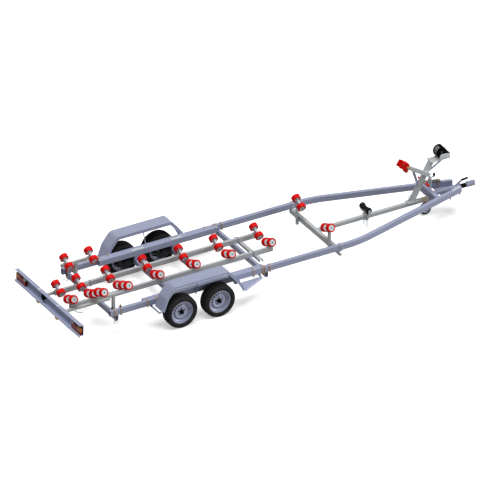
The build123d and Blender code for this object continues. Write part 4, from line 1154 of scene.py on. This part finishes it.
class TRAILER_OT_stage(bpy.types.Operator):
    """Set the floor, the lights and the camera"""

    bl_idname = "trailer.stage"
    bl_label = "Stage"

    def execute(self, context):
        bm = bmesh.new()
        bmesh.ops.create_grid(bm, x_segments=1, y_segments=1, size=400)
        mesh = bpy.data.meshes.new("studio_floor")
        bm.to_mesh(mesh)
        bm.free()
        floor = bpy.data.objects.new("studio_floor", mesh)
        finish = Finish("studio_floor", Roughness=0.9, Specular_IOR_Level=0.0)
        tone = context.scene.trailer_colours.floor_white
        grain = finish.noise(2.0, 3)
        seen = finish.node("ShaderNodeLightPath", {}, {}, "Is Camera Ray")
        glossy = finish.node("ShaderNodeLightPath", {}, {}, "Is Glossy Ray")
        shown = seen.maths("MAXIMUM", seen, glossy * 0.4)
        finish.paint(shade(tone, 0.24), shade(tone, 1.05), shown * (0.97 + grain * 0.03))
        finish.drive("Emission Color", finish.between(shown, (0, 0, 0), (1, 1, 1)))
        finish.body.inputs["Emission Strength"].default_value = 0.45
        mesh.materials.append(finish.material)
        context.scene.collection.objects.link(floor)

        world = bpy.data.worlds.new("studio")
        context.scene.world = world
        world.use_nodes = True
        tree = world.node_tree
        tree.nodes.clear()
        path, plain, white, either, mix, end = (
            tree.nodes.new(f"ShaderNode{kind}")
            for kind in ("LightPath", "Background", "Background", "Math", "MixShader", "OutputWorld")
        )
        for ground, tone, strength in ((plain, (0.96, 0.98, 1.0, 1), 0.13), (white, (1, 1, 1, 1), 1.0)):
            ground.inputs[0].default_value = tone
            ground.inputs[1].default_value = strength
        either.operation = "MULTIPLY_ADD"
        either.inputs[1].default_value = 0.40
        for source, place in (
            (path.outputs["Is Glossy Ray"], either.inputs[0]),
            (path.outputs["Is Camera Ray"], either.inputs[2]),
            (either.outputs[0], mix.inputs[0]), (plain.outputs[0], mix.inputs[1]),
            (white.outputs[0], mix.inputs[2]), (mix.outputs[0], end.inputs[0]),
        ):
            tree.links.new(source, place)

        for name, way, strength, spread in (
            ("overhead", (-0.12, -0.14, 1.0), 2.65, 44),
            ("front_right", (1.0, -0.55, 0.30), 1.8, 40),
        ):
            light = bpy.data.lights.new(name, "SUN")
            light.energy = strength
            light.angle = math.radians(spread)
            lamp = bpy.data.objects.new(name, light)
            lamp.rotation_mode = "QUATERNION"
            lamp.rotation_quaternion = Vector(way).to_track_quat("Z", "Y")
            context.scene.collection.objects.link(lamp)

        lens = bpy.data.cameras.new("long_lens")
        lens.sensor_width = 36
        lens.lens = 1500
        distance = 7.497 * lens.lens / lens.sensor_width
        back = Vector((-0.433013, -0.75, 0.5))
        lens.clip_start, lens.clip_end = 1, 2000
        camera = bpy.data.objects.new("long_lens", lens)
        camera.location = Vector((-0.3203, 0.0031, 0.497)) + back * distance
        camera.rotation_mode = "QUATERNION"
        camera.rotation_quaternion = (-back).to_track_quat("-Z", "Y")
        context.scene.collection.objects.link(camera)
        context.scene.camera = camera
        context.scene.view_settings.view_transform = "Standard"
        return {"FINISHED"}


operators = (
    TRAILER_OT_finishes,
    TRAILER_OT_rollers,
    TRAILER_OT_tyres,
    TRAILER_OT_wheels,
    TRAILER_OT_rail_fasteners,
    TRAILER_OT_rail_brackets,
    TRAILER_OT_beam_fittings,
    TRAILER_OT_nose_fittings,
    TRAILER_OT_guard_fittings,
    TRAILER_OT_lamps,
    TRAILER_OT_winch,
    TRAILER_OT_coupling,
    TRAILER_OT_jockey,
    TRAILER_OT_stage,
)


class TRAILER_PT_panel(bpy.types.Panel):
    """The trailer's groups, in the order that they are made"""

    bl_idname = "TRAILER_PT_panel"
    bl_label = "Boat Trailer"
    bl_space_type = "VIEW_3D"
    bl_region_type = "UI"
    bl_category = "Trailer"

    def draw(self, context):
        column = self.layout.column()
        for operator in operators:
            column.operator(operator.bl_idname, text=operator.bl_label)
        for group in (context.scene.trailer_sizes, context.scene.trailer_colours):
            for name in group.bl_rna.properties.keys():
                if name not in ("rna_type", "name"):
                    column.prop(group, name)


def register():
    for kind in (TrailerSizes, TrailerColours, *operators, TRAILER_PT_panel):
        bpy.utils.register_class(kind)
    bpy.types.Scene.trailer_sizes = PointerProperty(type=TrailerSizes)
    bpy.types.Scene.trailer_colours = PointerProperty(type=TrailerColours)


def unregister():
    del bpy.types.Scene.trailer_colours
    del bpy.types.Scene.trailer_sizes
    for kind in (TRAILER_PT_panel, *reversed(operators), TrailerColours, TrailerSizes):
        bpy.utils.unregister_class(kind)


def main():
    register()
    for operator in operators:
        group, name = operator.bl_idname.split(".")
        getattr(getattr(bpy.ops, group), name)()


if __name__ == "__main__":
    main()
